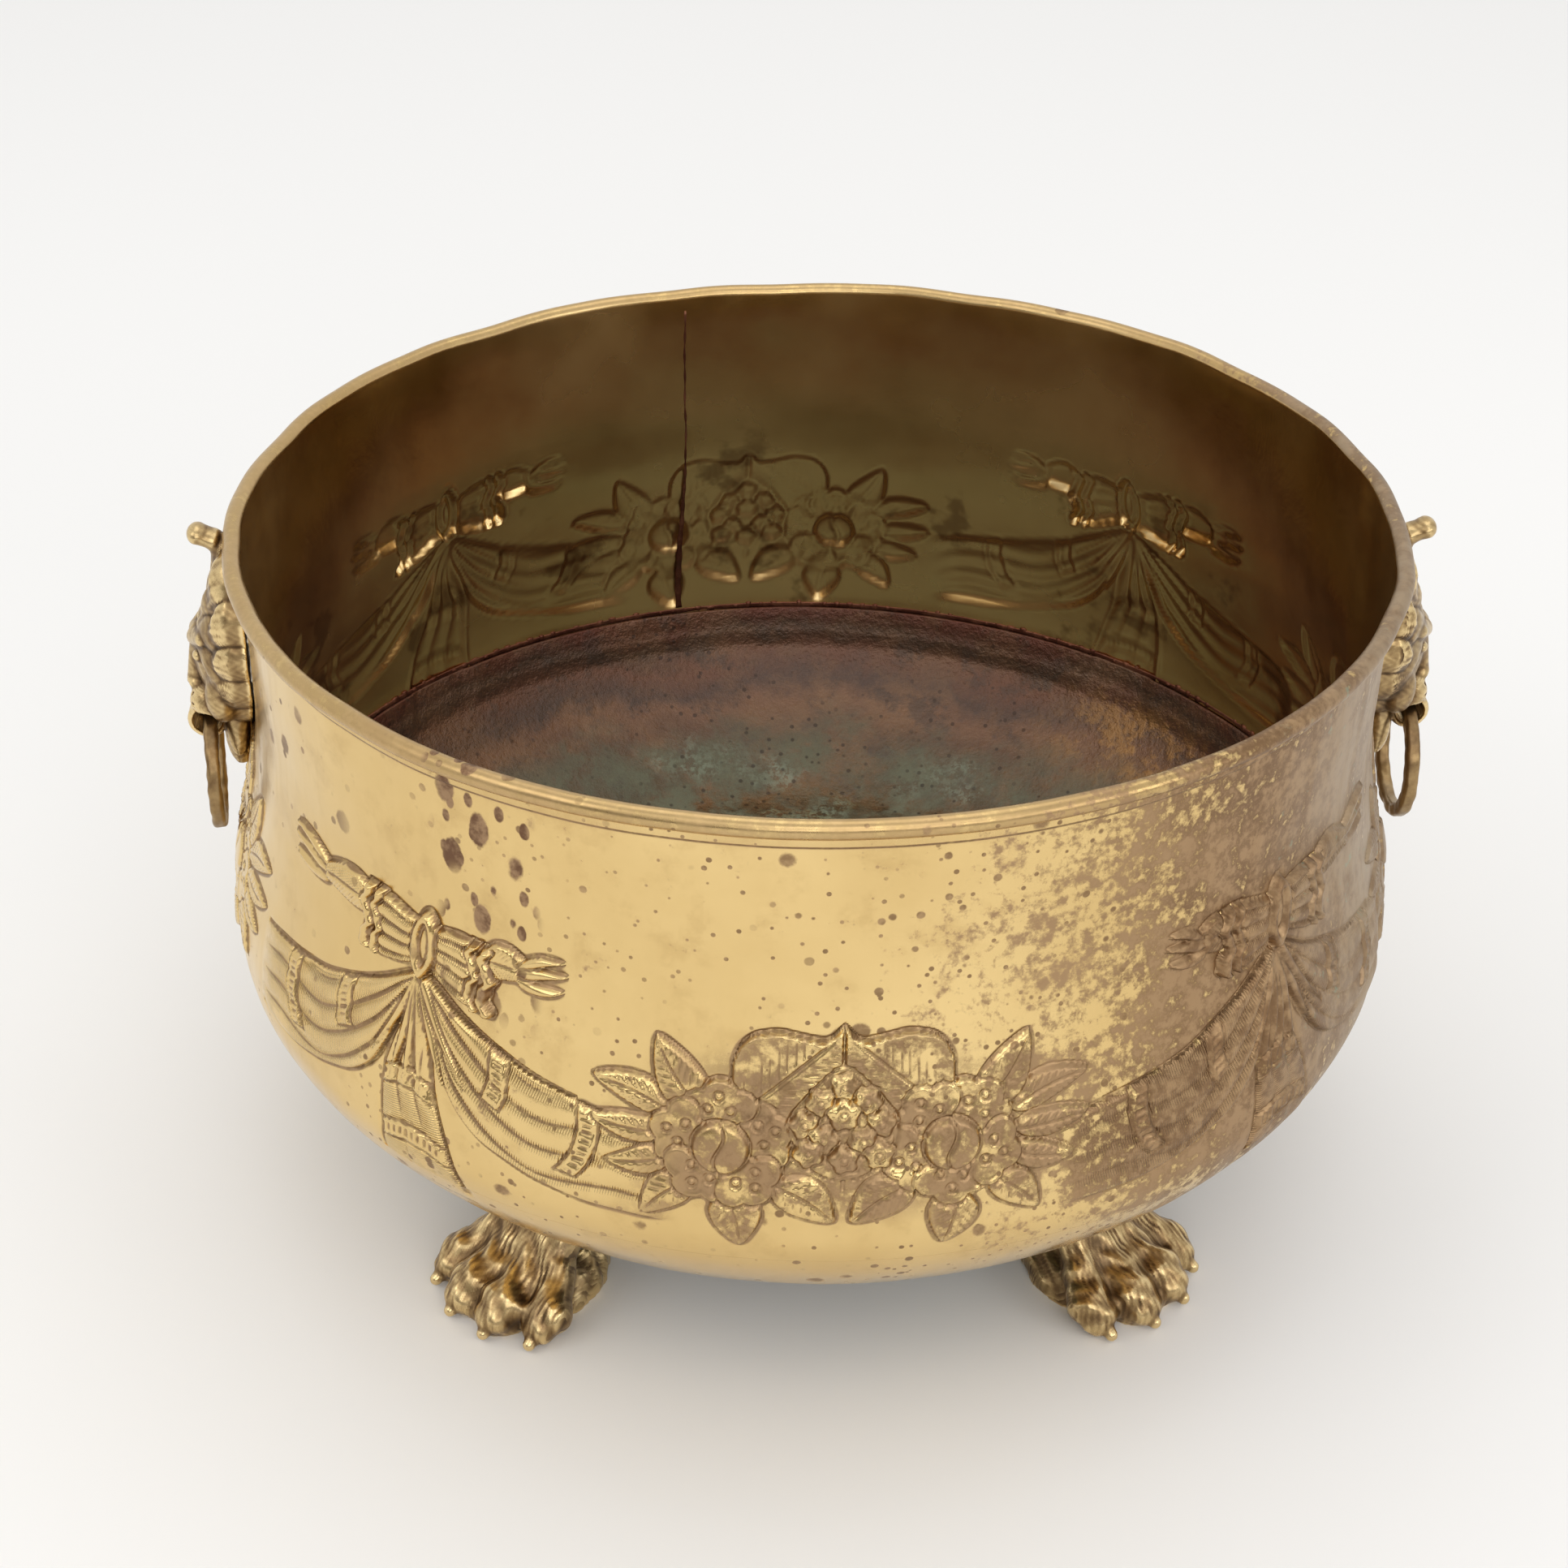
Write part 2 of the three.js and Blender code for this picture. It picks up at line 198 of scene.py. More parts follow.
SWAG_ACROSS = [0.0, 3.8, 14.0, 24.0, 40.0, 57.0, 84.0]
SWAG_TOP = [1.0, 0.0, -6.5, -11.0, -17.0, -20.5, -24.5]
SWAG_FOOT = [-1.5, -9.0, -33.0, -41.5, -47.6, -50.7, -52.0]


def smooth_curve(xs, ys, x):
    fine = np.linspace(xs[0], xs[-1], CURVE_STEPS)
    curve = np.interp(fine, xs, ys)
    for _ in range(3):
        padded = np.pad(curve, 6, mode="edge")
        curve = np.convolve(padded, np.ones(13) / 13, mode="valid")
    return np.interp(x, fine, curve)


def swag(patch, side):
    """Gathered cloth that hangs from a knot to the flowers, tied across with two stitched bands."""
    out = patch.u * side
    top = smooth_curve(SWAG_ACROSS, SWAG_TOP, np.abs(out))
    foot = smooth_curve(SWAG_ACROSS, SWAG_FOOT, np.abs(out))
    drop = np.clip((top - patch.v) / np.maximum(top - foot, 0.5), -0.5, 1.5)
    inside = np.minimum(np.minimum(top - patch.v, patch.v - foot) * 0.86, out - 0.5)
    folds = np.abs(np.sin(np.pi * (drop * 3.6 + 0.3 * np.sin(out * 0.11 + 0.4))))
    belly = np.clip(1 - (2 * drop - 1) ** 2, 0, 1)
    near = np.exp(-((out - 10) / 16) ** 2)
    height = 0.55 + (0.75 + 0.9 * near) * folds ** 0.75 + 0.7 * belly
    fade = ease(out, 84, 70)
    ticks = 0.25 + 0.75 * ease(folds, 0.85, 0.35)
    patch.lay(inside, height * fade, line=0.75, phase=out + drop * 5.0, depth=ticks * fade)
    for place, low, high in ((29.0, 0.02, 0.52), (57.0, 0.02, 0.74)):
        centre = place - 12.0 * drop + 5.0 * np.sin(np.pi * drop)
        ladder_band(patch, out - centre, drop * 32, low * 32, high * 32, height + 0.35, 3.0)


def ladder_band(patch, off, down, start, end, height, half):
    """A stitched band: two raised edges with rungs between them."""
    band = np.minimum(half - np.abs(off), np.minimum(down - start, end - down))
    edges = np.exp(-((np.abs(off) - half + 0.75) / 0.6) ** 2)
    rungs = np.exp(-((down / 2.3 - np.round(down / 2.3)) * 2.3 / 0.5) ** 2)
    patch.lay(band, height + 0.75 * np.maximum(edges, 0.8 * rungs) - 0.2, line=0.8)


def tail(patch):
    """The cloth that hangs straight down under each knot, crossed by stitched bands."""
    u, v = patch.u, patch.v
    left = np.interp(-v, [0, 10, 33, 68], [-0.5, -4.6, -11.5, -12.6])
    right = np.interp(-v, [0, 10, 33, 68], [0.5, 3.0, 7.4, 18.5])
    inside = np.minimum(np.minimum(u - left, right - u), -v - 0.5)
    share = np.clip((u - left) / np.maximum(right - left, 0.5), 0, 1)
    folds = np.abs(np.sin(np.pi * (share * 3.0 + 0.12 * np.sin(v * 0.15))))
    deep = ease(-v, 50, 12)
    height = 0.35 + (0.4 + 1.5 * deep) * folds ** 0.8 * ease(-v, 70, 60)
    patch.lay(inside, height, line=0.8, phase=-v + 3 * share, depth=0.9 * ease(-v, 30, 42))
    for drop, half in ((35.0, 3.0), (54.0, 3.0)):
        arch = drop - 2.5 * np.sin(np.pi * share)
        ladder_band(patch, -v - arch, u - left, 0.8, right - left - 0.8, height + 0.25, half)
    for x, y, thick in (
            (-15.5, -29, 1.7), (-7.0, -31, 2.0), (-2.2, -32, 1.8),
            (3.2, -32, 1.9), (12.5, -30, 2.0), (19.5, -27, 1.8)):
        strand(patch, (x * 0.05, -0.5), (x, y), thick, bend=-0.05 * x, rise=2.7)


def bow_loop(patch, side, lean):
    """A pleated loop of the bow, its open end turned over in a wavy double hem."""
    out = patch.u * side
    middle = 9.4 - lean * ease(out, 4, 24)
    v = patch.v - middle
    half = 7.2 + 2.6 * ease(out, 2, 16)
    wave = 1.1 * np.sin(v * 0.55 + side) + 0.35 * np.sin(v * 1.4 + 1)
    inside = np.minimum(half - np.abs(v), np.minimum(out - 2.5, 24.0 + wave - out))
    share = v / half
    pleats = np.abs(np.sin(np.pi * (share * 2 + 0.5)))
    height = 1.0 + 1.5 * pleats ** 0.5 * ease(out, 2, 8) + 0.5 * (1 - share ** 2)
    ticks = 1.1 * ease(pleats, 0.9, 0.5) * ease(out, 17, 14)
    patch.lay(inside, height, line=0.9, phase=out + 0.2 * v, depth=ticks)
    for place, thick in ((23.0, 1.9), (18.6, 1.5)):
        hem = np.minimum(thick - np.abs(out - place - wave), half + 0.6 - np.abs(v))
        round_hem = np.sqrt(np.clip(1 - ((out - place - wave) / thick) ** 2, 0, 1))
        patch.lay(hem, 1.9 + 1.5 * round_hem, line=1.0)


def bow(azimuth, height, left_end, right_end, scale=1.0):
    """A ribbon bow: swags and tail behind, then the two frayed ends, the pleated loops and the eye."""
    patch = Patch(azimuth, height, 86, 72, 26, scale)
    swag(patch, -1)
    swag(patch, 1)
    tail(patch)
    for side, reach in ((-1, left_end), (1, right_end)):
        body = 24 + (reach - 24) * 0.62
        leaf(patch, (side * 21, 13.5), (side * body, 12.5), 5.6,
             bend=1.5 * side, rise=2.6, veins=1.7, fullness=0.62)
        for rise_to, bend, start in ((19.5, 1.4, 14.0), (15.5, 0.4, 12.5), (10.5, -1.2, 10.5)):
            strand(patch, (side * (body - 6), start), (side * (reach - 0.3 * abs(rise_to - 15)), rise_to),
                   1.9, bend=bend * side)
    bow_loop(patch, -1, -0.5)
    bow_loop(patch, 1, 2.5)
    pinch = 1 - 0.45 * ease(patch.v, 6, -2)
    leaning = (patch.u - 0.09 * (patch.v - 10) - 0.6) / pinch
    eye = oval(leaning, patch.v, (0, 9.8), 4.7, 11.0)
    hole = oval(leaning, patch.v, (0, 10.6), 2.0, 6.6)
    ridges = np.exp(-((eye - 0.9) / 0.6) ** 2) + np.exp(-((hole + 0.6) / 0.55) ** 2)
    patch.lay(eye, 2.3 + 1.1 * np.clip(ridges, 0, 1), line=1.0)
    patch.lay(hole, 1.7 + 0.5 * np.clip(hole, 0, 1.2), line=0.6)


def petal(patch, centre, angle, reach, phase):
    """A petal with three lobes, dished, with ring punches near its middle."""
    ca, sa = math.cos(angle), math.sin(angle)
    along = (patch.u - centre[0]) * ca + (patch.v - centre[1]) * sa
    across = -(patch.u - centre[0]) * sa + (patch.v - centre[1]) * ca
    lobes = [(reach - 5.4, 0.0, 5.2), (reach - 8.0, 5.6, 4.6), (reach - 8.0, -5.6, 4.6)]
    inside = np.minimum(along - 2.0, 1.6 + along * 0.52 - np.abs(across))
    inside = np.minimum(inside, reach - 7.0 - along)
    for x, y, r in lobes:
        inside = np.maximum(inside, r - np.hypot(along - x, across - y))
    height = 1.2 + 0.9 * np.exp(-(np.clip(inside, 0, 9) / 1.2) ** 2) + 0.3 * np.cos(across * 0.5 + phase)
    for x, y in ((reach - 9.2, 3.4), (reach - 9.6, -2.8), (reach - 5.2, 0.4)):
        away = np.hypot(along - x, across - y)
        height = height - 0.75 * np.exp(-((away - 1.35) / 0.42) ** 2) + 0.4 * np.exp(-(away / 0.7) ** 2)
    patch.lay(inside, height, line=0.95)


def rosette(patch, centre, radius, turn):
    away = np.hypot(patch.u - centre[0], patch.v - centre[1])
    angle = np.arctan2(patch.v - centre[1], patch.u - centre[0])
    edge = radius * (1 + 0.12 * np.cos(5 * angle + turn))
    height = 1.5 + 1.0 * np.cos(np.clip(away / edge, 0, 1) * 1.5)
    cuts = np.exp(-(np.sin(2.5 * angle + turn / 2) * away / 0.55) ** 2)
    height = height - 0.3 * cuts * ease(away, 1.4, 2.2)
    height = height - 0.7 * np.exp(-((away - 1.35) / 0.45) ** 2)
    patch.lay(edge - away, height, line=0.75)


ARCH_ACROSS = [0, 2, 5, 10, 18, 25, 29, 31, 34]
ARCH_TOP = [30, 26.5, 24.6, 25.6, 27.4, 26.0, 22.5, 16, 2]


def arch_leaf(patch, side):
    """One of the two great leaves that meet over the flowers in a pointed arch."""
    out = patch.u * side
    top = smooth_curve(ARCH_ACROSS, ARCH_TOP, np.abs(out))
    inside = np.minimum(np.minimum(top - patch.v, 30.5 - out), np.minimum(patch.v - 2, out - 0.1))
    along, across, length = turned_to(out, patch.v, (25, 6), (1, 27))
    height = 1.3 + 0.8 * np.exp(-(np.clip(inside, 0, 9) / 1.3) ** 2) + 0.4 * np.exp(-(across / 4) ** 2)
    height = height - 0.8 * np.exp(-(across / 0.55) ** 2) * ease(along, length, length - 3)
    slant = along - np.abs(across) * 0.9
    cut = np.exp(-((slant / 3.1 - np.round(slant / 3.1)) * 3.1 / 0.5) ** 2)
    height = height - 0.5 * cut * ease(np.abs(across), 1.0, 2.2) * ease(np.abs(across), 8.5, 6.0)
    patch.lay(inside, height, line=0.95)


def cartouche(azimuth, height, scale=1.0):
    """Leaves, two split fruits in their petals, and a cluster of small flowers in the middle."""
    patch = Patch(azimuth, height, 74, 42, 34, scale)
    pillow = oval(patch.u, patch.v, (0, -3), 66, 30)
    swollen = 0.9 * ease(pillow, 0, 18) * scale
    relief[patch.grid] = np.maximum(relief[patch.grid], swollen)
    for side in (-1, 1):
        leaf(patch, (side * 46, 1), (side * 70, 8), 4.8, bend=1.6 * side, rise=1.8)
        leaf(patch, (side * 47, -5), (side * 70, -4), 4.2, bend=-0.8 * side, rise=1.8)
        leaf(patch, (side * 45, -11), (side * 65, -16), 4.4, bend=-1.2 * side, rise=1.8)
        leaf(patch, (side * 40, -18), (side * 54, -31), 5.6, bend=1.6 * side, rise=1.9)
        leaf(patch, (side * 31, -21), (side * 27, -38), 7.0, bend=0.8, rise=2.1)
        leaf(patch, (side * 19, -17), (side * 2, -29), 6.6, bend=-1.6 * side, rise=2.2)
        leaf(patch, (side * 37, 2), (side * 52, 23), 6.6, bend=-1.5 * side, rise=2.0)
        arch_leaf(patch, side)
    for side, fruit in ((-1, (-33.0, -7.2)), (1, (29.5, -6.4))):
        for i, reach in enumerate((21.0, 20.0, 20.5, 19.0, 20.5)):
            angle = math.radians(72 * i + (20 if side < 0 else 52))
            petal(patch, fruit, angle, reach, i + side)
        disc = oval(patch.u, patch.v, fruit, 7.8, 7.8)
        dome = 1.9 + 1.5 * np.sqrt(np.clip(1 - (1 - disc / 7.8) ** 2, 0, 1))
        split = patch.u - fruit[0] - 1.3 * np.sin((patch.v - fruit[1]) * 0.42) + 0.3
        dome = dome - 1.1 * np.exp(-(split / 0.55) ** 2)
        patch.lay(disc, dome, line=0.95)
    v = patch.v
    round_foot = 14.6 * np.sqrt(np.clip(1 - (v / 15.5) ** 2, 0, 1))
    pointed_top = 14.1 * np.clip((18.5 - v) / 14.5, 0, 1) ** 0.8
    half = np.where(v < 4, round_foot, pointed_top)
    cluster = np.minimum(half - np.abs(patch.u), 18 - np.abs(v))
    patch.lay(cluster, 1.0 + 0 * patch.u, line=0.9)
    spots = [(0.2, 11.6), (6.4, 7.4), (-6.2, 7.0), (-10.6, 0.6), (0.0, 3.6), (10.2, 1.0),
             (-5.6, -3.6), (5.4, -4.2), (-9.4, -7.6), (0.2, -9.4), (9.6, -8.2)]
    for i, spot in enumerate(spots):
        rosette(patch, spot, 4.1 if i != 4 else 4.6, i * 1.1)


KNOT_HEIGHT = 154.4
FLOWERS_HEIGHT = 135.9
for azimuth, left_end, right_end, scale in (
        (-40.6, 67, 49, 0.92), (45.4, 46, 66, 0.92), (136.8, 57, 51, 0.9), (-135.3, 52, 54, 0.9)):
    bow(azimuth, KNOT_HEIGHT, left_end, right_end, scale)
for azimuth, scale in ((0.0, 1.0), (90.0, 0.65), (-175.0, 0.85), (-90.0, 0.65)):
    cartouche(azimuth, FLOWERS_HEIGHT, scale)


def blurred(field, across, up):
    """The field averaged over a few cells each way, round the wall and up it."""
    for _ in range(2):
        field = sum(np.roll(field, i, axis=1) for i in range(-across, across + 1)) / (2 * across + 1)
        padded = np.pad(field, ((up, up), (0, 0)), mode="edge")
        field = sum(padded[i:i + len(field)] for i in range(2 * up + 1)) / (2 * up + 1)
    return field


relief_inside = blurred(relief, 1, 1) * 1.1
# How far each point of the relief is sunk below its neighbours. The outside paint uses it to darken the
# hollows of the chasing, partly as dirt and partly as painted shade.
recess = np.clip((blurred(relief, 2, 2) - relief) * 3.0, 0, 1)
chased = np.clip(blurred(np.clip(relief * 2, 0, 1), 2, 2), 0, 1)


# Drum wall. One sheet of brass, rolled and brazed into a drum, its top curled outwards over a wire.
# It is kept as six bays that meet edge to edge, and the first and the last meet at the real seam.
def curl(radius, start, end, steps):
    angles = np.radians(np.linspace(start, end, steps))
    return RIM_RADIUS + radius * np.cos(angles), RIM_HEIGHT + radius * np.sin(angles)


def wall_sections():
    """Rows of the wall, from its foot up the outside, round the curl, and down the inside.

    Each row is a radius, a height, how much of the outside and of the inside relief it takes, and
    how brown its surface is. The second value returned is how many rows lie on the outside chain."""
    on_drum = relief_heights[relief_heights >= WALL_FOOT]
    fold = RIM_HEIGHT - 6.9
    up = [(outline_radius(z), z, 1.0, 0.0, 0.0) for z in (on_drum[0], on_drum[0] + 0.03, *on_drum[1:])]
    for z in np.linspace(relief_heights[-1] + 2, fold - 2.4, 11):
        up.append((outline_radius(z), z, 0.0, 0.0, 0.0))
    for z, proud, stain in (
            (-0.6, 0.0, 0.2), (-0.15, -0.05, 1.0), (0.1, 0.4, 1.0), (0.6, 0.55, 0.2), (2.2, 0.55, 0.2)):
        up.append((outline_radius(fold) + proud, fold + z, 0.0, 0.0, stain))
    up += [(r, z, 0.0, 0.0, 0.6) for r, z in zip(*curl(BEAD - SHEET, 180, -115, 12))]
    over = [(r, z, 0.0, 0.0, 0.34) for r, z in zip(*curl(BEAD + 0.1, -118, 180, 22))]
    over[0] = (*over[0][:4], 1.0)
    over[1] = (*over[1][:4], 0.8)
    for z in np.linspace(RIM_HEIGHT - 4.2, relief_heights[-1] + 2, 8):
        over.append((outline_radius(z) - SHEET, z, 0.0, 0.0, 0.0))
    for z in on_drum[::-1][::3]:
        over.append((outline_radius(z) - SHEET, z, 0.0, 1.0, 0.0))
    return np.array(up + over), len(up)


def end_faces(rows, outside_rows):
    """Closes the end of a piece of sheet: a strip of triangles between its two faces."""
    run = np.hypot(*np.diff(rows[:, :2], axis=0).T)
    outside = np.concatenate([[0], np.cumsum(run[:outside_rows - 1])])
    inside = np.concatenate([np.cumsum(run[outside_rows:][::-1])[::-1], [0]])
    outside, inside = outside / outside[-1], inside / inside[0]
    near, far, faces = 0, len(rows) - 1, []
    while near < outside_rows - 1 or far > outside_rows:
        left_outside = near < outside_rows - 1
        if far == outside_rows or (left_outside and outside[near + 1] <= inside[far - 1 - outside_rows]):
            faces.append((near, near + 1, far))
            near += 1
        else:
            faces.append((near, far - 1, far))
            far -= 1
    return np.array(faces)


def mesh_of(name, points, faces, attributes=()):
    mesh = bpy.data.meshes.new(name)
    mesh.from_pydata(points.reshape(-1, 3).tolist(), [], faces)
    for key, values in dict(attributes).items():
        layer = mesh.attributes.new(key, "FLOAT", "POINT")
        layer.data.foreach_set("value", np.ascontiguousarray(values, np.float32).ravel())
    mesh.polygons.foreach_set("use_smooth", np.ones(len(mesh.polygons), bool))
    mesh.update()
    obj = bpy.data.objects.new(name, mesh)
    bpy.context.scene.collection.objects.link(obj)
    return obj


def grid_faces(rows, columns, round_rows, round_columns):
    r = np.arange(rows if round_rows else rows - 1)
    c = np.arange(columns if round_columns else columns - 1)
    r0, c0 = np.meshgrid(r, c, indexing="ij")
    r1, c1 = (r0 + 1) % rows, (c0 + 1) % columns
    corners = [(r0, c0), (r0, c1), (r1, c1), (r1, c0)]
    quads = np.stack([row * columns + column for row, column in corners], axis=-1)
    return quads.reshape(-1, 4)


def picked(field, heights, columns, share):
    """A field of the relief, read at the given heights and columns, and faded where share is 0."""
    index = np.clip(np.searchsorted(relief_heights, heights), 0, len(relief_heights) - 1)
    return field[np.ix_(index, columns)] * share[:, None]


def shell_piece(name, rows, azimuths, columns, ends=None):
    """A closed piece of turned sheet: rows of it round its section, and columns of it round the pot.

    With ends, the faces that close its two ends, it is a bay; without them it runs all the way round."""
    closed = ends is None
    heights = np.broadcast_to(rows[:, 1][:, None], (len(rows), len(azimuths)))
    radii = rows[:, 0][:, None] + unevenness(azimuths[None, :], heights)
    radii = radii + picked(relief, rows[:, 1], columns, rows[:, 2])
    radii = radii + picked(relief_inside, rows[:, 1], columns, rows[:, 3])
    points = in_place(azimuths[None, :], radii, heights)
    along = np.roll(points, -1, axis=0) - np.roll(points, 1, axis=0)
    round_it = np.roll(points, -1, axis=1) - np.roll(points, 1, axis=1)
    normals = np.cross(round_it, along)
    normals /= np.maximum(np.linalg.norm(normals, axis=2, keepdims=True), 1e-12)
    face_in = (rows[:, 3] > 0) | (rows[:, 0] < outline_radius(rows[:, 1]) - SHEET / 2)
    # The recess attribute is the larger of that sinking, for dirt and painted shade in the hollows, and the
    # rim's brown stain.
    attributes = {
        "recess": np.maximum(picked(recess, rows[:, 1], columns, rows[:, 2]), rows[:, 4][:, None]),
        "chased": picked(chased, rows[:, 1], columns, rows[:, 2]),
        "hatch_phase": picked(hatch_phase, rows[:, 1], columns, rows[:, 2]),
        "hatch_depth": picked(hatch_depth, rows[:, 1], columns, rows[:, 2]),
        "inside": np.broadcast_to(face_in.astype(float)[:, None], radii.shape),
    }
    if not closed:
        points, normals = points[:, 1:-1], normals[:, 1:-1]
        attributes = {key: value[:, 1:-1] for key, value in attributes.items()}
    n_rows, n_columns = points.shape[:2]
    faces = grid_faces(n_rows, n_columns, True, closed).tolist()
    sides = len(faces)
    if not closed:
        faces += (ends * n_columns).tolist()
        faces += (ends[:, ::-1] * n_columns + n_columns - 1).tolist()
    made = mesh_of(name, points, faces, attributes)
    corner = np.empty(len(made.data.loops), int)
    made.data.loops.foreach_get("vertex_index", corner)
    corner_normals = normals.reshape(-1, 3)[corner]
    corner_normals[sides * 4:] = 0
    made.data.polygons.foreach_set("use_smooth", np.arange(len(faces)) < sides)
    made.data.normals_split_custom_set(corner_normals.tolist())
    return made


def wall_bay(name, first):
    steps = first + np.arange(-1, COLUMNS_PER_BAY + 2)
    azimuths = SEAM_AZIMUTH + steps * 360.0 / len(relief_azimuths)
    rows, outside_rows = wall_sections()
    return shell_piece(name, rows, azimuths, steps % len(relief_azimuths), end_faces(rows, outside_rows))


class Builder:
    """Adds nodes to a tree: each call adds one and joins or sets its inputs."""

    def node(self, kind, inputs=None, **settings):
        node = self.tree.nodes.new(kind)
        for key, value in settings.items():
            setattr(node, key, value)
        for key, value in (inputs or {}).items():
            self.plug(node.inputs[key], value)
        return node

    def plug(self, socket, value):
        if isinstance(value, bpy.types.NodeSocket):
            self.tree.links.new(value, socket)
        else:
            socket.default_value = value


class Material(Builder):
    """A metal or a paint, built up from patterns that follow the piece's own coordinates."""

    def __init__(self, name):
        self.made = bpy.data.materials.new(name)
        self.made.use_nodes = True
        self.tree = self.made.node_tree
        self.shader = self.tree.nodes["Principled BSDF"]
        self.object = self.node("ShaderNodeTexCoord").outputs["Object"]
        self.apart = self.node("ShaderNodeSeparateXYZ", {"Vector": self.object})

    def attribute(self, name):
        return self.node("ShaderNodeAttribute", attribute_name=name).outputs["Fac"]

    def math(self, operation, a, b=0.0):
        return self.node("ShaderNodeMath", {0: a, 1: b}, operation=operation).outputs[0]

    def times(self, a, b):
        return self.math("MULTIPLY", a, b)

    def plus(self, a, b):
        return self.math("ADD", a, b)

    def minus(self, a, b):
        return self.math("SUBTRACT", a, b)

    def most(self, a, b):
        return self.math("MAXIMUM", a, b)

    def noise(self, scale, detail=4.0, rough=0.55, vector=None):
        node = self.node("ShaderNodeTexNoise", {
            "Vector": vector or self.object, "Scale": scale, "Detail": detail, "Roughness": rough})
        return node.outputs["Fac"]

    def cells(self, scale, vector=None):
        node = self.node("ShaderNodeTexVoronoi", {"Vector": vector or self.object, "Scale": scale})
        return node.outputs["Distance"]

    def stretched(self, x, y, z):
        node = self.node("ShaderNodeMapping", {"Vector": self.object, "Scale": (x, y, z)})
        return node.outputs["Vector"]

    def step(self, value, low, high, to_low=0.0, to_high=1.0):
        node = self.node("ShaderNodeMapRange", {
            "Value": value, "From Min": low, "From Max": high, "To Min": to_low, "To Max": to_high},
            interpolation_type="SMOOTHSTEP")
        return node.outputs["Result"]

    def mix(self, share, a, b):
        node = self.node("ShaderNodeMix", data_type="RGBA")
        self.plug(node.inputs[0], share)
        self.plug(node.inputs[6], a)
        self.plug(node.inputs[7], b)
        return node.outputs[2]

    def ramp(self, value, stops):
        node = self.node("ShaderNodeValToRGB", {"Fac": value})
        elements = node.color_ramp.elements
        while len(elements) < len(stops):
            elements.new(0.5)
        for element, (place, colour) in zip(elements, stops):
            element.position = place
            element.color = (*colour, 1.0)
        return node.outputs["Color"]

    def bump(self, height, strength, distance, normal=None):
        inputs = {"Height": height, "Strength": strength, "Distance": distance}
        if normal is not None:
            inputs["Normal"] = normal
        return self.node("ShaderNodeBump", inputs).outputs["Normal"]

    def towards(self, azimuth):
        """1 on the side of the pot that faces azimuth, falling to -1 on the far side."""
        a = math.radians(azimuth)
        level = {0: self.object, 1: (1.0, 1.0, 0.0)}
        flat = self.node("ShaderNodeVectorMath", level, operation="MULTIPLY")
        outward = self.node("ShaderNodeVectorMath", {0: flat.outputs[0]}, operation="NORMALIZE")
        facing = {0: outward.outputs[0], 1: (math.sin(a), -math.cos(a), 0.0)}
        return self.node("ShaderNodeVectorMath", facing, operation="DOT_PRODUCT").outputs["Value"]

    def finish(self, colour, roughness, normal=None, metallic=1.0):
        self.plug(self.shader.inputs["Base Color"], colour)
        self.plug(self.shader.inputs["Roughness"], roughness)
        self.plug(self.shader.inputs["Metallic"], metallic)
        if normal is not None:
            self.plug(self.shader.inputs["Normal"], normal)
        return self.made


# Sheet brass: polished once, now spotted, with heavy brown tarnish on the right and a duller inside.
BRIGHT_GOLD = (0.80, 0.585, 0.265, 1)
DEEP_GOLD = (0.69, 0.485, 0.205, 1)
HONEY = (0.52, 0.34, 0.135, 1)
LIGHT_BROWN = (0.37, 0.235, 0.13, 1)
DARK_BROWN = (0.17, 0.090, 0.050, 1)
GREY_BROWN = (0.36, 0.28, 0.20, 1)
VERDIGRIS = (0.25, 0.36, 0.28, 1)
INSIDE_GOLD = (0.80, 0.60, 0.30, 1)
INSIDE_BROWN = (0.57, 0.385, 0.17, 1)
STAIN = (0.20, 0.095, 0.045, 1)
HATCH_SPACING = 1.5


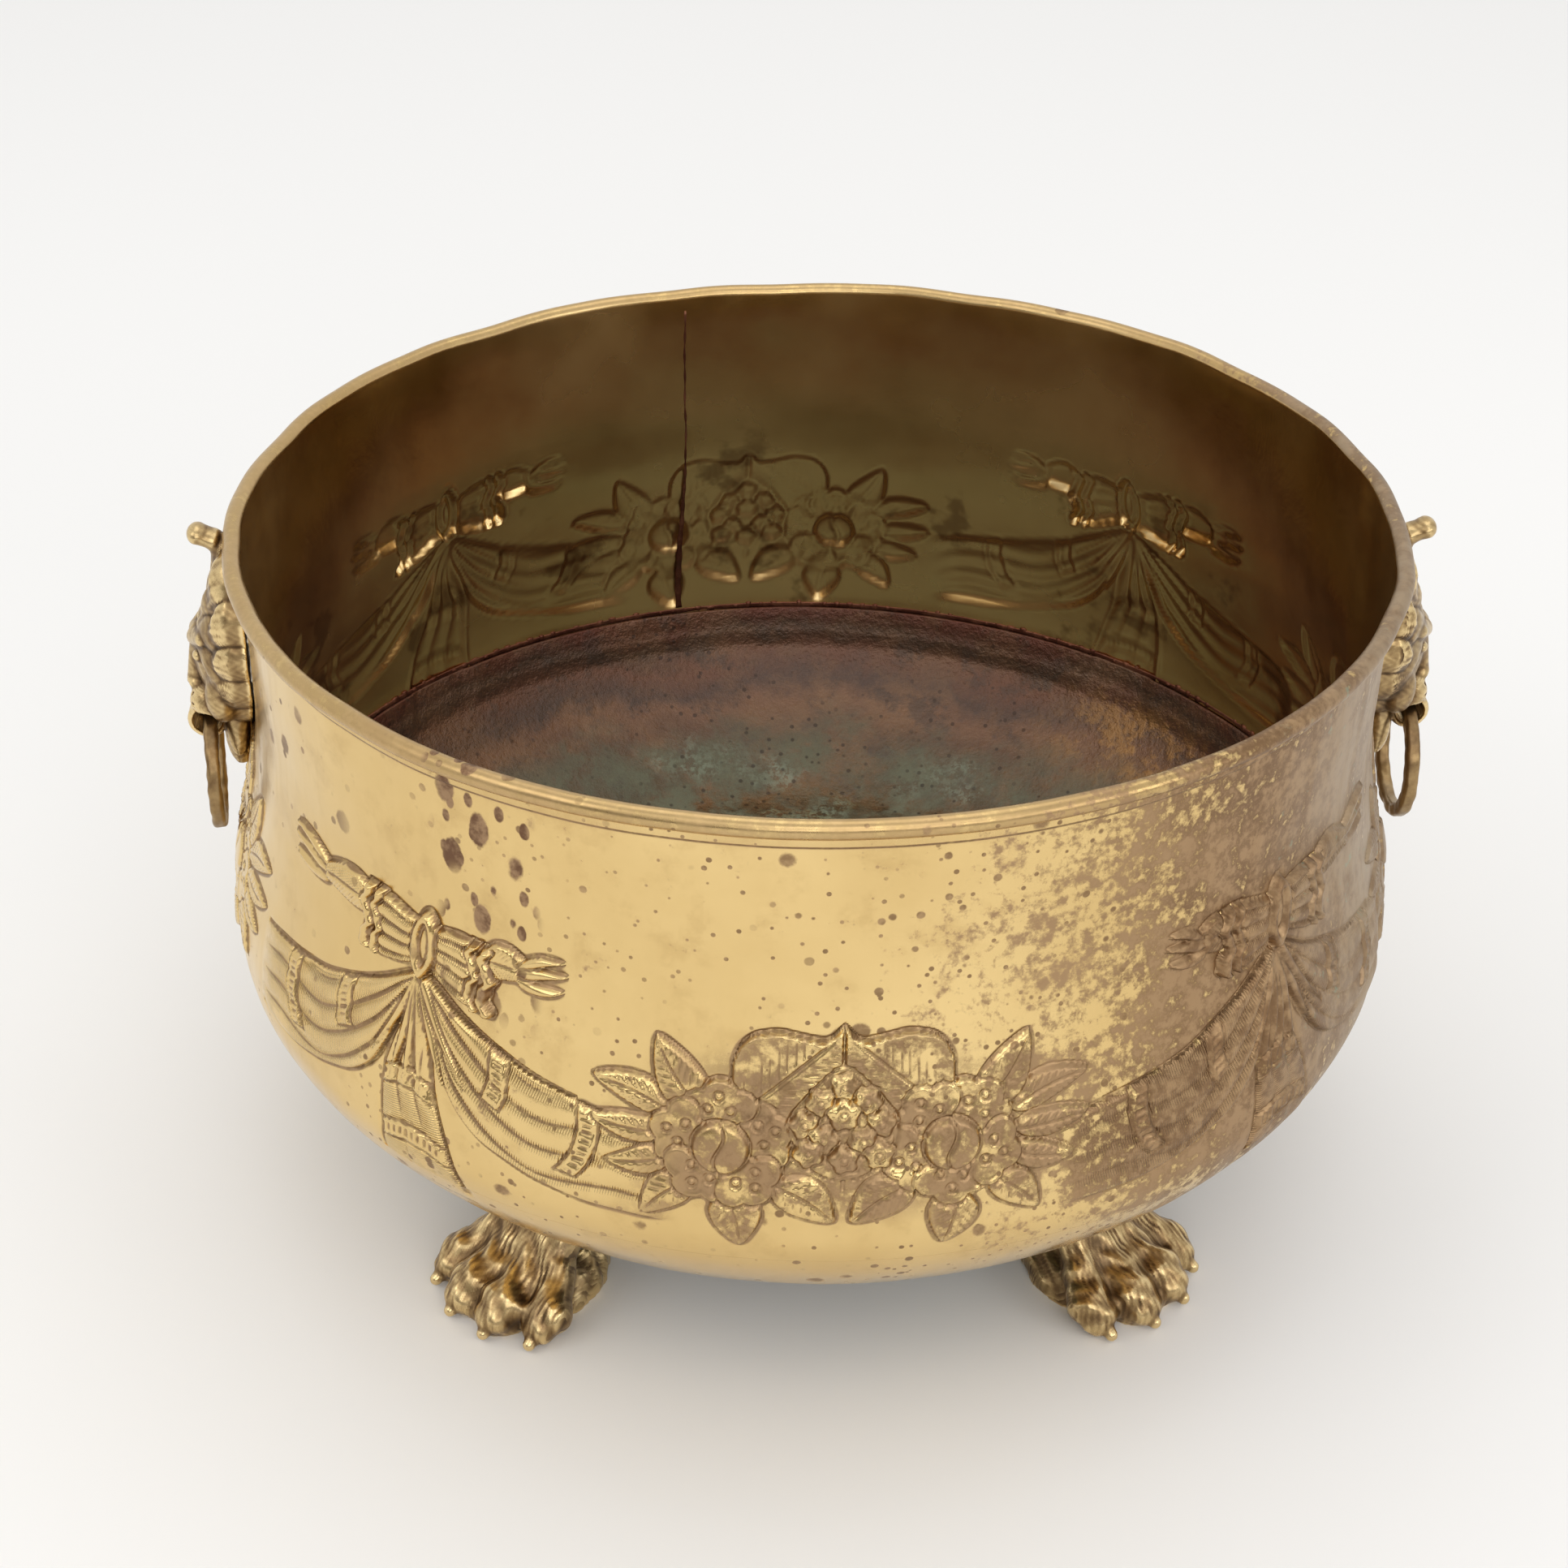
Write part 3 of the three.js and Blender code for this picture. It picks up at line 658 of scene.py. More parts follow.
def polished(m):
    """Colour and roughness of the outside of the pot, which the wall and the pan share."""
    height = m.apart.outputs["Z"]
    cloud = m.noise(9.0, 5.0, 0.6)
    fine = m.noise(60.0, 6.0, 0.65)
    grain = m.noise(300.0, 4.0, 0.65)
    recess = m.attribute("recess")
    relief_here = m.attribute("chased")
    gold = m.mix(m.step(cloud, 0.35, 0.7), DEEP_GOLD, BRIGHT_GOLD)
    gold = m.mix(m.times(m.step(fine, 0.50, 0.68), 0.35), gold, HONEY)

    # brown-grey tarnish that thickens to the right, broken up by patches that stayed bright
    blotch = m.times(m.step(m.towards(74.0), 0.20, 0.97), 0.44)
    blotch = m.minus(blotch, m.step(height, 0.125, 0.070, 0.0, 0.13))
    blotch = m.plus(blotch, m.times(cloud, 0.30))
    blotch = m.plus(blotch, m.times(fine, 0.62))
    blotch = m.plus(blotch, m.times(grain, 0.80))
    blotch = m.plus(blotch, m.times(m.times(relief_here, m.towards(8.0)), 0.09))
    tarnish = m.step(blotch, 1.01, 1.20)

    # round spots in loose clouds: specks, small ones and a few large
    where = m.step(m.plus(m.noise(6.5, 2.0), m.times(m.towards(35.0), 0.09)), 0.43, 0.56)
    small = m.step(m.plus(m.cells(115.0), m.times(fine, 0.22)), 0.27, 0.22)
    large = m.step(m.plus(m.cells(46.0), m.times(fine, 0.30)), 0.29, 0.24)
    dots = m.most(m.times(small, where), m.times(large, m.step(where, 0.3, 0.9)))
    specks = m.step(m.plus(m.cells(230.0), m.times(fine, 0.30)), 0.34, 0.27)
    specks = m.times(specks, m.step(m.plus(cloud, m.times(m.towards(30.0), 0.10)), 0.50, 0.62))
    dots = m.most(dots, specks)

    # a line of drips below the rim, left of the middle
    tall = m.stretched(1.0, 1.0, 0.62)
    drip = m.step(m.plus(m.cells(105.0, vector=tall), m.times(fine, 0.40)), 0.60, 0.52)
    lane = m.times(m.step(m.towards(-33.5), 0.9942, 0.9972), m.step(height, 0.146, 0.160))
    lane = m.times(lane, m.step(m.noise(30.0, 2.0), 0.34, 0.42))
    runs = m.step(m.plus(m.cells(190.0, vector=tall), m.times(fine, 0.40)), 0.54, 0.46)
    drips = m.times(m.most(drip, runs), lane)

    # dirt and painted shade in the hollows of the chasing, and worn patches on the front flowers
    hollows = m.times(m.step(recess, 0.10, 0.55), m.step(m.plus(fine, grain), 0.72, 1.05, 0.45, 1.0))
    flowers = m.times(m.step(m.towards(2.0), 0.925, 0.97), relief_here)
    patchy = m.plus(m.plus(fine, m.times(grain, 0.5)), m.times(cloud, 0.4))
    flowers = m.times(flowers, m.step(patchy, 0.84, 1.02))
    # The brown mixed in below is real tarnish, spots, drips and wear, with painted shade in the chased
    # hollows.
    wear_and_shade = m.most(m.times(tarnish, 0.9), m.times(dots, 0.8))
    wear_and_shade = m.most(wear_and_shade, drips)
    wear_and_shade = m.most(wear_and_shade, m.most(m.times(hollows, 0.85), m.times(flowers, 0.9)))
    mottle = m.step(m.plus(fine, m.times(m.minus(grain, 0.5), 0.8)), 0.38, 0.66)
    brown = m.mix(mottle, DARK_BROWN, LIGHT_BROWN)
    grey = m.times(m.step(m.towards(84.0), 0.72, 0.97), m.step(fine, 0.36, 0.62, 0.35, 0.85))
    brown = m.mix(grey, brown, GREY_BROWN)
    green = m.times(m.step(m.noise(140.0, 3.0, 0.7), 0.64, 0.72), m.step(m.towards(70.0), 0.85, 0.95))
    brown = m.mix(m.times(green, 0.5), brown, VERDIGRIS)
    rough = m.plus(0.17, m.times(wear_and_shade, 0.26))
    streaks = m.noise(120.0, 4.0, 0.6, m.stretched(1.0, 1.0, 0.08))
    rough = m.plus(rough, m.times(m.step(streaks, 0.40, 0.65), 0.08))
    return m.mix(wear_and_shade, gold, brown), rough


def sheet_brass():
    m = Material("sheet_brass")
    outside, rough = polished(m)
    inside = m.attribute("inside")
    cloud = m.noise(9.0, 5.0, 0.6)
    fine = m.noise(60.0, 6.0, 0.65)
    within = m.mix(m.step(cloud, 0.3, 0.7), INSIDE_BROWN, INSIDE_GOLD)
    low = m.step(m.apart.outputs["Z"], 0.185, 0.16)
    stains = m.times(m.step(m.noise(34.0, 4.0, 0.6), 0.57, 0.66), low)
    within = m.mix(m.times(stains, 0.6), within, STAIN)
    colour = m.mix(inside, outside, within)
    dull = m.step(cloud, 0.35, 0.7, 0.17, 0.30)
    rough = m.plus(m.times(rough, m.minus(1.0, inside)), m.times(inside, dull))
    phase = m.times(m.attribute("hatch_phase"), 2 * math.pi / HATCH_SPACING)
    lines = m.math("POWER", m.math("ABSOLUTE", m.math("SINE", phase)), 3.0)
    hatch = m.times(m.times(lines, m.attribute("hatch_depth")), m.step(fine, 0.3, 0.5))
    normal = m.bump(hatch, 0.7, 0.0005)
    normal = m.bump(m.noise(260.0, 4.0, 0.6), 0.12, 0.0004, normal)
    return m.finish(colour, rough, normal)


SHEET_BRASS = sheet_brass()
for index in range(BAYS):
    bay = wall_bay("drum_wall_bay_%d" % (index + 1), index * COLUMNS_PER_BAY)
    bay.data.materials.append(SHEET_BRASS)
    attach(bay, "planter")
    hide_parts("drum_wall")


# ---------------------------------------------------------------------------------------------------
# Base pan. A raised dish let into the foot of the drum, its edge cut into teeth and brazed inside.
# Polished with the drum outside; inside, standing water has left it red-brown with verdigris.
COPPERY = (0.50, 0.27, 0.095, 1)
RUST = (0.27, 0.155, 0.085, 1)
SOOT = (0.085, 0.070, 0.060, 1)
PAN_GREEN = (0.22, 0.245, 0.17, 1)
PALE_CRUST = (0.33, 0.40, 0.31, 1)
BLACK_SPECK = (0.035, 0.025, 0.02, 1)
OLD_BROWN = (0.055, 0.030, 0.022, 1)
PAN_COLUMNS = 540
PAN_EDGE = pan_high.z / MM
LET_IN = SHEET + 0.35


def pan_sections():
    """Rows of the pan, from the middle of its underside outwards, up, over its edge and back in.

    Each row is a radius, a height, and how much of the outside and of the inside relief it takes."""
    rows = [(r, FLOOR_UNDER, 0.0, 0.0) for r in np.linspace(1.0, FLOOR_RADIUS - 4, 14)]
    rows += [(FLOOR_RADIUS, FLOOR_UNDER + 0.05, 0.0, 0.0), (129.5, FLOOR_UNDER + 0.9, 0.0, 0.0)]
    rows += [(outline_radius(z), z, 0.0, 0.0) for z in np.arange(CREASE_HEIGHT, relief_heights[0], 1.6)]
    below = relief_heights[relief_heights < WALL_FOOT - 0.1]
    rows += [(outline_radius(z), z, 1.0, 0.0) for z in below]
    rows += [(outline_radius(WALL_FOOT), WALL_FOOT - gap, 1.0, 0.0) for gap in (0.04, 0.01)]
    rows += [(outline_radius(WALL_FOOT) - LET_IN, WALL_FOOT, 0.0, 1.0)]
    rows += [(outline_radius(PAN_EDGE - 0.3) - LET_IN, PAN_EDGE - 0.3, 0.0, 1.0)]
    rows += [(outline_radius(PAN_EDGE) - LET_IN - 0.5, PAN_EDGE, 0.0, 1.0)]
    rows += [(outline_radius(PAN_EDGE - 0.3) - LET_IN - SHEET, PAN_EDGE - 0.4, 0.0, 1.0)]
    rows += [(outline_radius(z) - LET_IN - SHEET, z, 0.0, 1.0) for z in below[::-1][::3]]
    for z in np.arange(relief_heights[0] - 2, CREASE_HEIGHT + 1, -1.8):
        rows.append((outline_radius(z) - SHEET - 0.3, z, 0.0, 0.0))
    inner = FLOOR_UNDER + SHEET
    rows += [(129.0, inner + 1.0, 0.0, 0.0), (FLOOR_RADIUS - 1, inner + 0.1, 0.0, 0.0)]
    for r in np.linspace(FLOOR_RADIUS - 4, 1.0, 60):
        ring = 0.7 * math.exp(-((r - 96) / 5) ** 2)
        dimples = 0.35 * math.sin(r * 0.21) * math.exp(-((r - 70) / 40) ** 2)
        rows.append((r, inner + ring + dimples, 0.0, 0.0))
    return np.array([(*row, 0.0) for row in rows])


def base_pan():
    azimuths = SEAM_AZIMUTH + np.arange(PAN_COLUMNS) * 360.0 / PAN_COLUMNS
    columns = np.arange(PAN_COLUMNS) * len(relief_azimuths) // PAN_COLUMNS
    return shell_piece("base_pan_dish", pan_sections(), azimuths, columns)


def pan_brass():
    m = Material("pan_brass")
    gold, rough_gold = polished(m)
    inside = m.attribute("inside")
    height = m.apart.outputs["Z"]
    cloud = m.noise(11.0, 5.0, 0.62)
    fine = m.noise(70.0, 6.0, 0.7)
    grain = m.noise(420.0, 3.0, 0.7)
    level = m.plus(height, m.times(m.minus(cloud, 0.5), 0.034))
    level = m.plus(level, m.times(m.minus(fine, 0.5), 0.016))
    bands = m.ramp(m.step(level, 0.036, 0.098), [
        (0.0, (0.085, 0.062, 0.036)), (0.16, (0.13, 0.105, 0.070)), (0.34, (0.14, 0.082, 0.055)),
        (0.50, (0.22, 0.120, 0.075)), (0.64, (0.12, 0.082, 0.066)), (0.80, (0.20, 0.095, 0.060)),
        (0.92, (0.095, 0.062, 0.042)), (1.0, (0.16, 0.045, 0.028))])
    mottle = m.step(m.noise(30.0, 6.0, 0.75), 0.42, 0.62)
    bands = m.mix(m.times(mottle, 0.5), bands, RUST)
    bands = m.mix(m.times(m.step(fine, 0.50, 0.64), 0.55), bands, SOOT)
    coppery = m.times(m.step(m.towards(118.0), 0.86, 0.97), m.step(level, 0.058, 0.070))
    coppery = m.times(coppery, m.step(level, 0.088, 0.076))
    coppery = m.times(coppery, m.step(m.plus(fine, m.times(grain, 0.4)), 0.62, 0.82))
    shade = m.mix(m.times(coppery, 0.85), bands, COPPERY)
    green = m.times(m.step(level, 0.070, 0.052), m.step(m.noise(20.0, 6.0, 0.7), 0.38, 0.58))
    green = m.times(green, m.step(fine, 0.36, 0.56))
    shade = m.mix(m.times(green, 0.8), shade, PAN_GREEN)
    crust = m.times(m.step(level, 0.060, 0.050), m.step(m.noise(13.0, 4.0, 0.6), 0.54, 0.66))
    crust = m.times(crust, m.step(grain, 0.42, 0.60))
    shade = m.mix(m.times(crust, 0.8), shade, PALE_CRUST)
    speck = m.times(m.step(m.cells(210.0), 0.22, 0.12), m.step(cloud, 0.45, 0.6))
    shade = m.mix(m.times(speck, 0.7), shade, BLACK_SPECK)
    shade = m.mix(m.step(level, 0.060, 0.075, 0.12, 0.42), shade, OLD_BROWN)
    colour = m.mix(inside, gold, shade)
    dull = m.plus(0.38, m.times(green, 0.4))
    rough = m.plus(m.times(rough_gold, m.minus(1.0, inside)),
                   m.times(dull, inside))
    metallic = m.minus(1.0, m.times(inside, m.plus(0.35, m.times(green, 0.6))))
    pitted = m.times(m.plus(fine, m.times(grain, 0.5)), m.plus(0.08, inside))
    return m.finish(colour, rough, m.bump(pitted, 0.5, 0.0016), metallic)


pan = base_pan()
pan.data.materials.append(pan_brass())
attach(pan, "planter")
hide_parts("base_pan")


# ---------------------------------------------------------------------------------------------------
# Pan seam. The teeth of the pan's edge, closed down on the drum's inside wall, and the run of
# brazing metal that fills them. Every tooth is a filed tab, a little different from the next.
class Nodes(Builder):
    """A Geometry Nodes tree with named inputs, run once on an empty mesh and kept as a plain mesh."""

    def __init__(self, name, inputs):
        self.name = name
        self.tree = bpy.data.node_groups.new(name, "GeometryNodeTree")
        self.tree.interface.new_socket("Geometry", in_out="OUTPUT", socket_type="NodeSocketGeometry")
        self.given = self.tree.nodes.new("NodeGroupInput")
        self.values = {}
        for label, value in inputs.items():
            kind = "NodeSocketInt" if isinstance(value, int) else "NodeSocketFloat"
            socket = self.tree.interface.new_socket(label, in_out="INPUT", socket_type=kind)
            self.values[socket.identifier] = value

    def __getitem__(self, label):
        return self.given.outputs[label]

    def made(self, geometry, material):
        whole = self.node("GeometryNodeRealizeInstances", {"Geometry": geometry}).outputs[0]
        smooth = self.node("GeometryNodeSetShadeSmooth", {"Geometry": whole}).outputs[0]
        dressed = {"Geometry": smooth, "Material": material}
        finished = self.node("GeometryNodeSetMaterial", dressed).outputs[0]
        out = self.tree.nodes.new("NodeGroupOutput")
        self.tree.links.new(finished, out.inputs[0])
        label = self.name + "_carrier"
        carrier = bpy.data.objects.new(label, bpy.data.meshes.new(label))
        bpy.context.scene.collection.objects.link(carrier)
        modifier = carrier.modifiers.new("tree", "NODES")
        modifier.node_group = self.tree
        for identifier, value in self.values.items():
            modifier[identifier] = value
        evaluated = carrier.evaluated_get(bpy.context.evaluated_depsgraph_get())
        mesh = bpy.data.meshes.new_from_object(evaluated)
        mesh.name = self.name
        carrier.modifiers.remove(modifier)
        bpy.data.objects.remove(carrier)
        piece = bpy.data.objects.new(self.name, mesh)
        bpy.context.scene.collection.objects.link(piece)
        return piece


def brazing_metal():
    m = Material("brazing_metal")
    cloud = m.noise(130.0, 5.0, 0.65)
    colour = m.mix(m.step(cloud, 0.4, 0.65), (0.13, 0.045, 0.03, 1), (0.24, 0.10, 0.06, 1))
    colour = m.mix(m.step(m.noise(38.0, 4.0, 0.6), 0.55, 0.72), colour, (0.10, 0.07, 0.045, 1))
    rough = m.step(cloud, 0.3, 0.7, 0.34, 0.55)
    return m.finish(colour, rough, m.bump(m.noise(420.0, 3.0, 0.6), 0.4, 0.0006), 0.85)


def toothed_seam(material):
    seam_radius = (outline_radius(PAN_EDGE + 1) - SHEET) * MM
    n = Nodes("pan_seam_teeth", {
        "Radius": seam_radius, "Height": (PAN_EDGE + 0.4) * MM, "Teeth": 236,
        "Tooth width": 0.0036, "Tooth height": 0.0030, "Tooth thickness": 0.0009,
        "Run height": 0.0022, "Run thickness": 0.0007, "Seed": 7})
    circle = n.node("GeometryNodeMeshCircle", {"Vertices": n["Teeth"], "Radius": n["Radius"]}).outputs[0]
    size = n.node("ShaderNodeCombineXYZ", {
        "X": n["Tooth thickness"], "Y": n["Tooth width"], "Z": n["Tooth height"]})
    block = n.node("GeometryNodeMeshCube", {"Size": size.outputs[0]}).outputs[0]
    tooth = n.node("GeometryNodeSubdivisionSurface", {
        "Mesh": block, "Level": 1, "Edge Crease": 0.55}).outputs[0]
    outward = n.node("GeometryNodeInputPosition").outputs[0]
    turned = n.node("FunctionNodeAlignEulerToVector", {
        "Vector": outward}, axis="X", pivot_axis="Z").outputs[0]
    differ = n.node("FunctionNodeRandomValue", {"Seed": n["Seed"]}, data_type="FLOAT_VECTOR")
    differ.inputs["Min"].default_value = (0.7, 0.55, 0.6)
    differ.inputs["Max"].default_value = (1.2, 1.05, 1.35)
    tabs = n.node("GeometryNodeInstanceOnPoints", {
        "Points": circle, "Instance": tooth, "Rotation": turned, "Scale": differ.outputs[0]}).outputs[0]
    path = n.node("GeometryNodeCurvePrimitiveCircle", {
        "Resolution": 360, "Radius": n["Radius"]}).outputs[0]
    section = n.node("GeometryNodeCurvePrimitiveQuadrilateral", {
        "Width": n["Run thickness"], "Height": n["Run height"]}).outputs[0]
    round_section = n.node("GeometryNodeFilletCurve", {
        "Curve": section, "Radius": 0.0003, "Count": 2}, mode="POLY").outputs[0]
    run = n.node("GeometryNodeCurveToMesh", {"Curve": path, "Profile Curve": round_section}).outputs[0]
    both = n.node("GeometryNodeJoinGeometry")
    n.tree.links.new(tabs, both.inputs[0])
    n.tree.links.new(run, both.inputs[0])
    lift = n.node("ShaderNodeCombineXYZ", {"Z": n["Height"]}).outputs[0]
    placed = n.node("GeometryNodeTransform", {
        "Geometry": both.outputs[0], "Translation": lift}).outputs[0]
    return n.made(placed, material)


BRAZING = brazing_metal()
teeth = toothed_seam(BRAZING)
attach(teeth, "planter")
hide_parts("pan_seam_spelter")


# ---------------------------------------------------------------------------------------------------
# Rim wire and side seam. A stiff brass wire lies inside the rolled rim. The drum's own seam is a
# narrow run of brazing metal down the inside, wider towards the pan.
WIRE_RADIUS = 1.15
WIRE_STEPS = 360
SEAM_STEPS = 90
SEAM_THICKNESS = 0.28


def tube(name, path, widths, depths, round_steps, closed):
    """A closed tube along path, flattened to widths across and depths out from the pot's middle."""
    path = np.asarray(path)
    angles = np.linspace(0, 2 * math.pi, round_steps, endpoint=False)
    outward = path * np.array([1.0, 1.0, 0.0])
    outward /= np.linalg.norm(outward, axis=1, keepdims=True)
    if closed:
        run = np.roll(path, -1, axis=0) - np.roll(path, 1, axis=0)
    else:
        run = np.gradient(path, axis=0)
    run /= np.linalg.norm(run, axis=1, keepdims=True)
    sideways = np.cross(outward, run)
    wide = np.cos(angles)[None, :, None] * np.reshape(widths, (-1, 1, 1))
    deep = np.sin(angles)[None, :, None] * np.reshape(depths, (-1, 1, 1))
    section = sideways[:, None, :] * wide + outward[:, None, :] * deep
    points = path[:, None, :] + section
    faces = grid_faces(len(path), round_steps, closed, True).tolist()
    if not closed:
        last = (len(path) - 1) * round_steps
        faces += [list(range(round_steps)), [last + i for i in reversed(range(round_steps))]]
    made = mesh_of(name, points, faces)
    upright_faces(made)
    return made


def upright_faces(piece):
    """Turns every face of a closed mesh to point outwards."""
    edit = bmesh.new()
    edit.from_mesh(piece.data)
    bmesh.ops.recalc_face_normals(edit, faces=edit.faces)
    edit.to_mesh(piece.data)
    edit.free()


wire_azimuths = np.arange(WIRE_STEPS) * 360.0 / WIRE_STEPS
wire_path = in_place(wire_azimuths, np.full(WIRE_STEPS, RIM_RADIUS), np.full(WIRE_STEPS, RIM_HEIGHT))
wire_radii = np.full(WIRE_STEPS, WIRE_RADIUS * MM)
wire = tube("rim_wire_core", wire_path, wire_radii, wire_radii, 10, True)
wire.data.materials.append(BRAZING)
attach(wire, "planter")
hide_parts("rim_wire")

seam_heights = np.linspace(PAN_EDGE + 2, RIM_HEIGHT - 4, SEAM_STEPS)
seam_azimuths = SEAM_AZIMUTH + 0.10 * np.sin(seam_heights * 0.07) + 0.03 * np.sin(seam_heights * 0.31)
seam_radii = outline_radius(seam_heights) - SHEET + unevenness(seam_azimuths, seam_heights) - 0.05
seam_path = in_place(seam_azimuths, seam_radii, seam_heights)
seam_widths = (0.35 + 0.8 * ease(seam_heights, 170, 112) + 0.12 * np.sin(seam_heights * 0.8)) * MM
seam_depths = np.full(SEAM_STEPS, SEAM_THICKNESS * MM)
side_seam = tube("side_seam_run", seam_path, seam_widths, seam_depths, 10, False)
side_seam.data.materials.append(BRAZING)
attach(side_seam, "planter")
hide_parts("side_seam_spelter")


# ---------------------------------------------------------------------------------------------------
# Lion masks. Brass castings, chased after casting: a mane of locks round a heavy brow, a muzzle whose
# lip is bored for the ring, a beard behind it, and a tuft that curls out under the rim.
hinges = {joint["name"]: joint for joint in frame["joints"]}
hinge_right = Vector(hinges["right_ring_swing"]["pos_m"]) / MM
MASK_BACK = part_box("lion_mask_right")[0].x / MM
MASK_MIDDLE = 190.0
MANE_ACROSS = 23.5
MANE_UP = 32.0
FACE_SURFACE = 178.4
LIP_RADIUS = 6.1
LIP_HOLE = 4.55
TO_BOWL = 0.9
MASK_BLOCK = ((170.0, -27.0, 139.0), (198.0, 27.0, 229.0))
MASK_STEP = 0.5
FOREHEAD_TUFTS = (
    ((186.5, 1.0, 194), (181.5, 2.5, 207), 3.4, 2.2),
    ((186.5, 5.5, 194), (180.5, 9.5, 206), 3.0, 1.8),
    ((184.0, 10.5, 192), (179.0, 16.5, 200), 2.8, 1.6))


def soft_join(a, b, soft):
    share = np.clip(0.5 + 0.5 * (b - a) / soft, 0, 1)
    return b * (1 - share) + a * share - soft * share * (1 - share)


def soft_cut(a, b, soft):
    return -soft_join(-a, -b, soft)


def bulb(at, centre, radii):
    x, y, z = at
    away = np.sqrt(((x - centre[0]) / radii[0]) ** 2 + ((y - centre[1]) / radii[1]) ** 2
                   + ((z - centre[2]) / radii[2]) ** 2)
    return (away - 1) * min(radii)


def bar(at, start, end, thick, thin=None):
    thin = thick if thin is None else thin
    start, end = np.array(start, float), np.array(end, float)
    run = end - start
    offset = [at[i] - start[i] for i in range(3)]
    share = np.clip(sum(offset[i] * run[i] for i in range(3)) / (run @ run), 0, 1)
    away = np.sqrt(sum((offset[i] - share * run[i]) ** 2 for i in range(3)))
    return away - thick * (1 - share) - thin * share


def off_bowl(x, y, z):
    """How far a point stands out from the bowl's outside."""
    radius = np.hypot(x, y)
    slope = np.interp(z, outline[:, 1], np.gradient(outline[:, 0], outline[:, 1]))
    side = (radius - outline_radius(z)) / np.sqrt(1 + slope ** 2)
    return np.maximum(side, FLOOR_UNDER - z)


def carved(name, shape, low, high, step, azimuth):
    """A closed mesh of the surface where shape is zero, turned to azimuth. "raised" marks its ridges."""
    axes = [np.arange(low[i], high[i] + step, step) for i in range(3)]
    field = shape(*np.meshgrid(*axes, indexing="ij"))
    softened = field.copy()
    for axis in range(3):
        ends = np.moveaxis(field, axis, 0)
        ends[[0, -1]] = np.maximum(ends[[0, -1]], step / 2)
    for axis in range(3):
        for _ in range(2):
            softened = (np.roll(softened, 1, axis) + softened + np.roll(softened, -1, axis)) / 3
    ridge = softened - field
    cells = np.array(field.shape) - 1
    total = np.zeros((cells.prod(), 3))
    count = np.zeros(cells.prod())
    quads = []
    for a in range(3):
        b, c = (a + 1) % 3, (a + 2) % 3
        before = np.moveaxis(np.moveaxis(field, a, 0)[:-1], 0, a)
        after = np.moveaxis(np.moveaxis(field, a, 0)[1:], 0, a)
        where = np.argwhere((before < 0) != (after < 0))
        start, end = before[tuple(where.T)], after[tuple(where.T)]
        point = where.astype(float)
        point[:, a] += start / (start - end)
        around = []
        for step_b, step_c in ((-1, -1), (0, -1), (0, 0), (-1, 0)):
            cell = where.copy()
            cell[:, b] += step_b
            cell[:, c] += step_c
            flat = np.ravel_multi_index(tuple(cell.T), tuple(cells))
            around.append(flat)
            count += np.bincount(flat, minlength=len(count))
            for i in range(3):
                total[:, i] += np.bincount(flat, point[:, i], minlength=len(count))
        quad = np.stack(around, axis=1)
        quad[start > 0] = quad[start > 0][:, ::-1]
        quads.append(quad)
    used = np.flatnonzero(count)
    index = np.zeros(len(count), int)
    index[used] = np.arange(len(used))
    nearest = np.array(np.unravel_index(used, tuple(cells)))
    raised = ridge[tuple(nearest)] / step
    x, y, z = (total[used] / count[used][:, None] * step + np.array(low)).T * MM
    a = math.radians(azimuth - 90)
    points = np.stack([x * math.cos(a) - y * math.sin(a), x * math.sin(a) + y * math.cos(a), z], axis=1)
    return mesh_of(name, points, index[np.vstack(quads)].tolist(), {"raised": raised})


def mask_back(y, z):
    """How far back the casting reaches: flat in the middle, with a lip round its edge, near the wall."""
    reach = np.hypot(y / MANE_ACROSS, (z - MASK_MIDDLE - 1) / MANE_UP)
    return MASK_BACK - 3.2 * ease(reach, 0.74, 0.84)


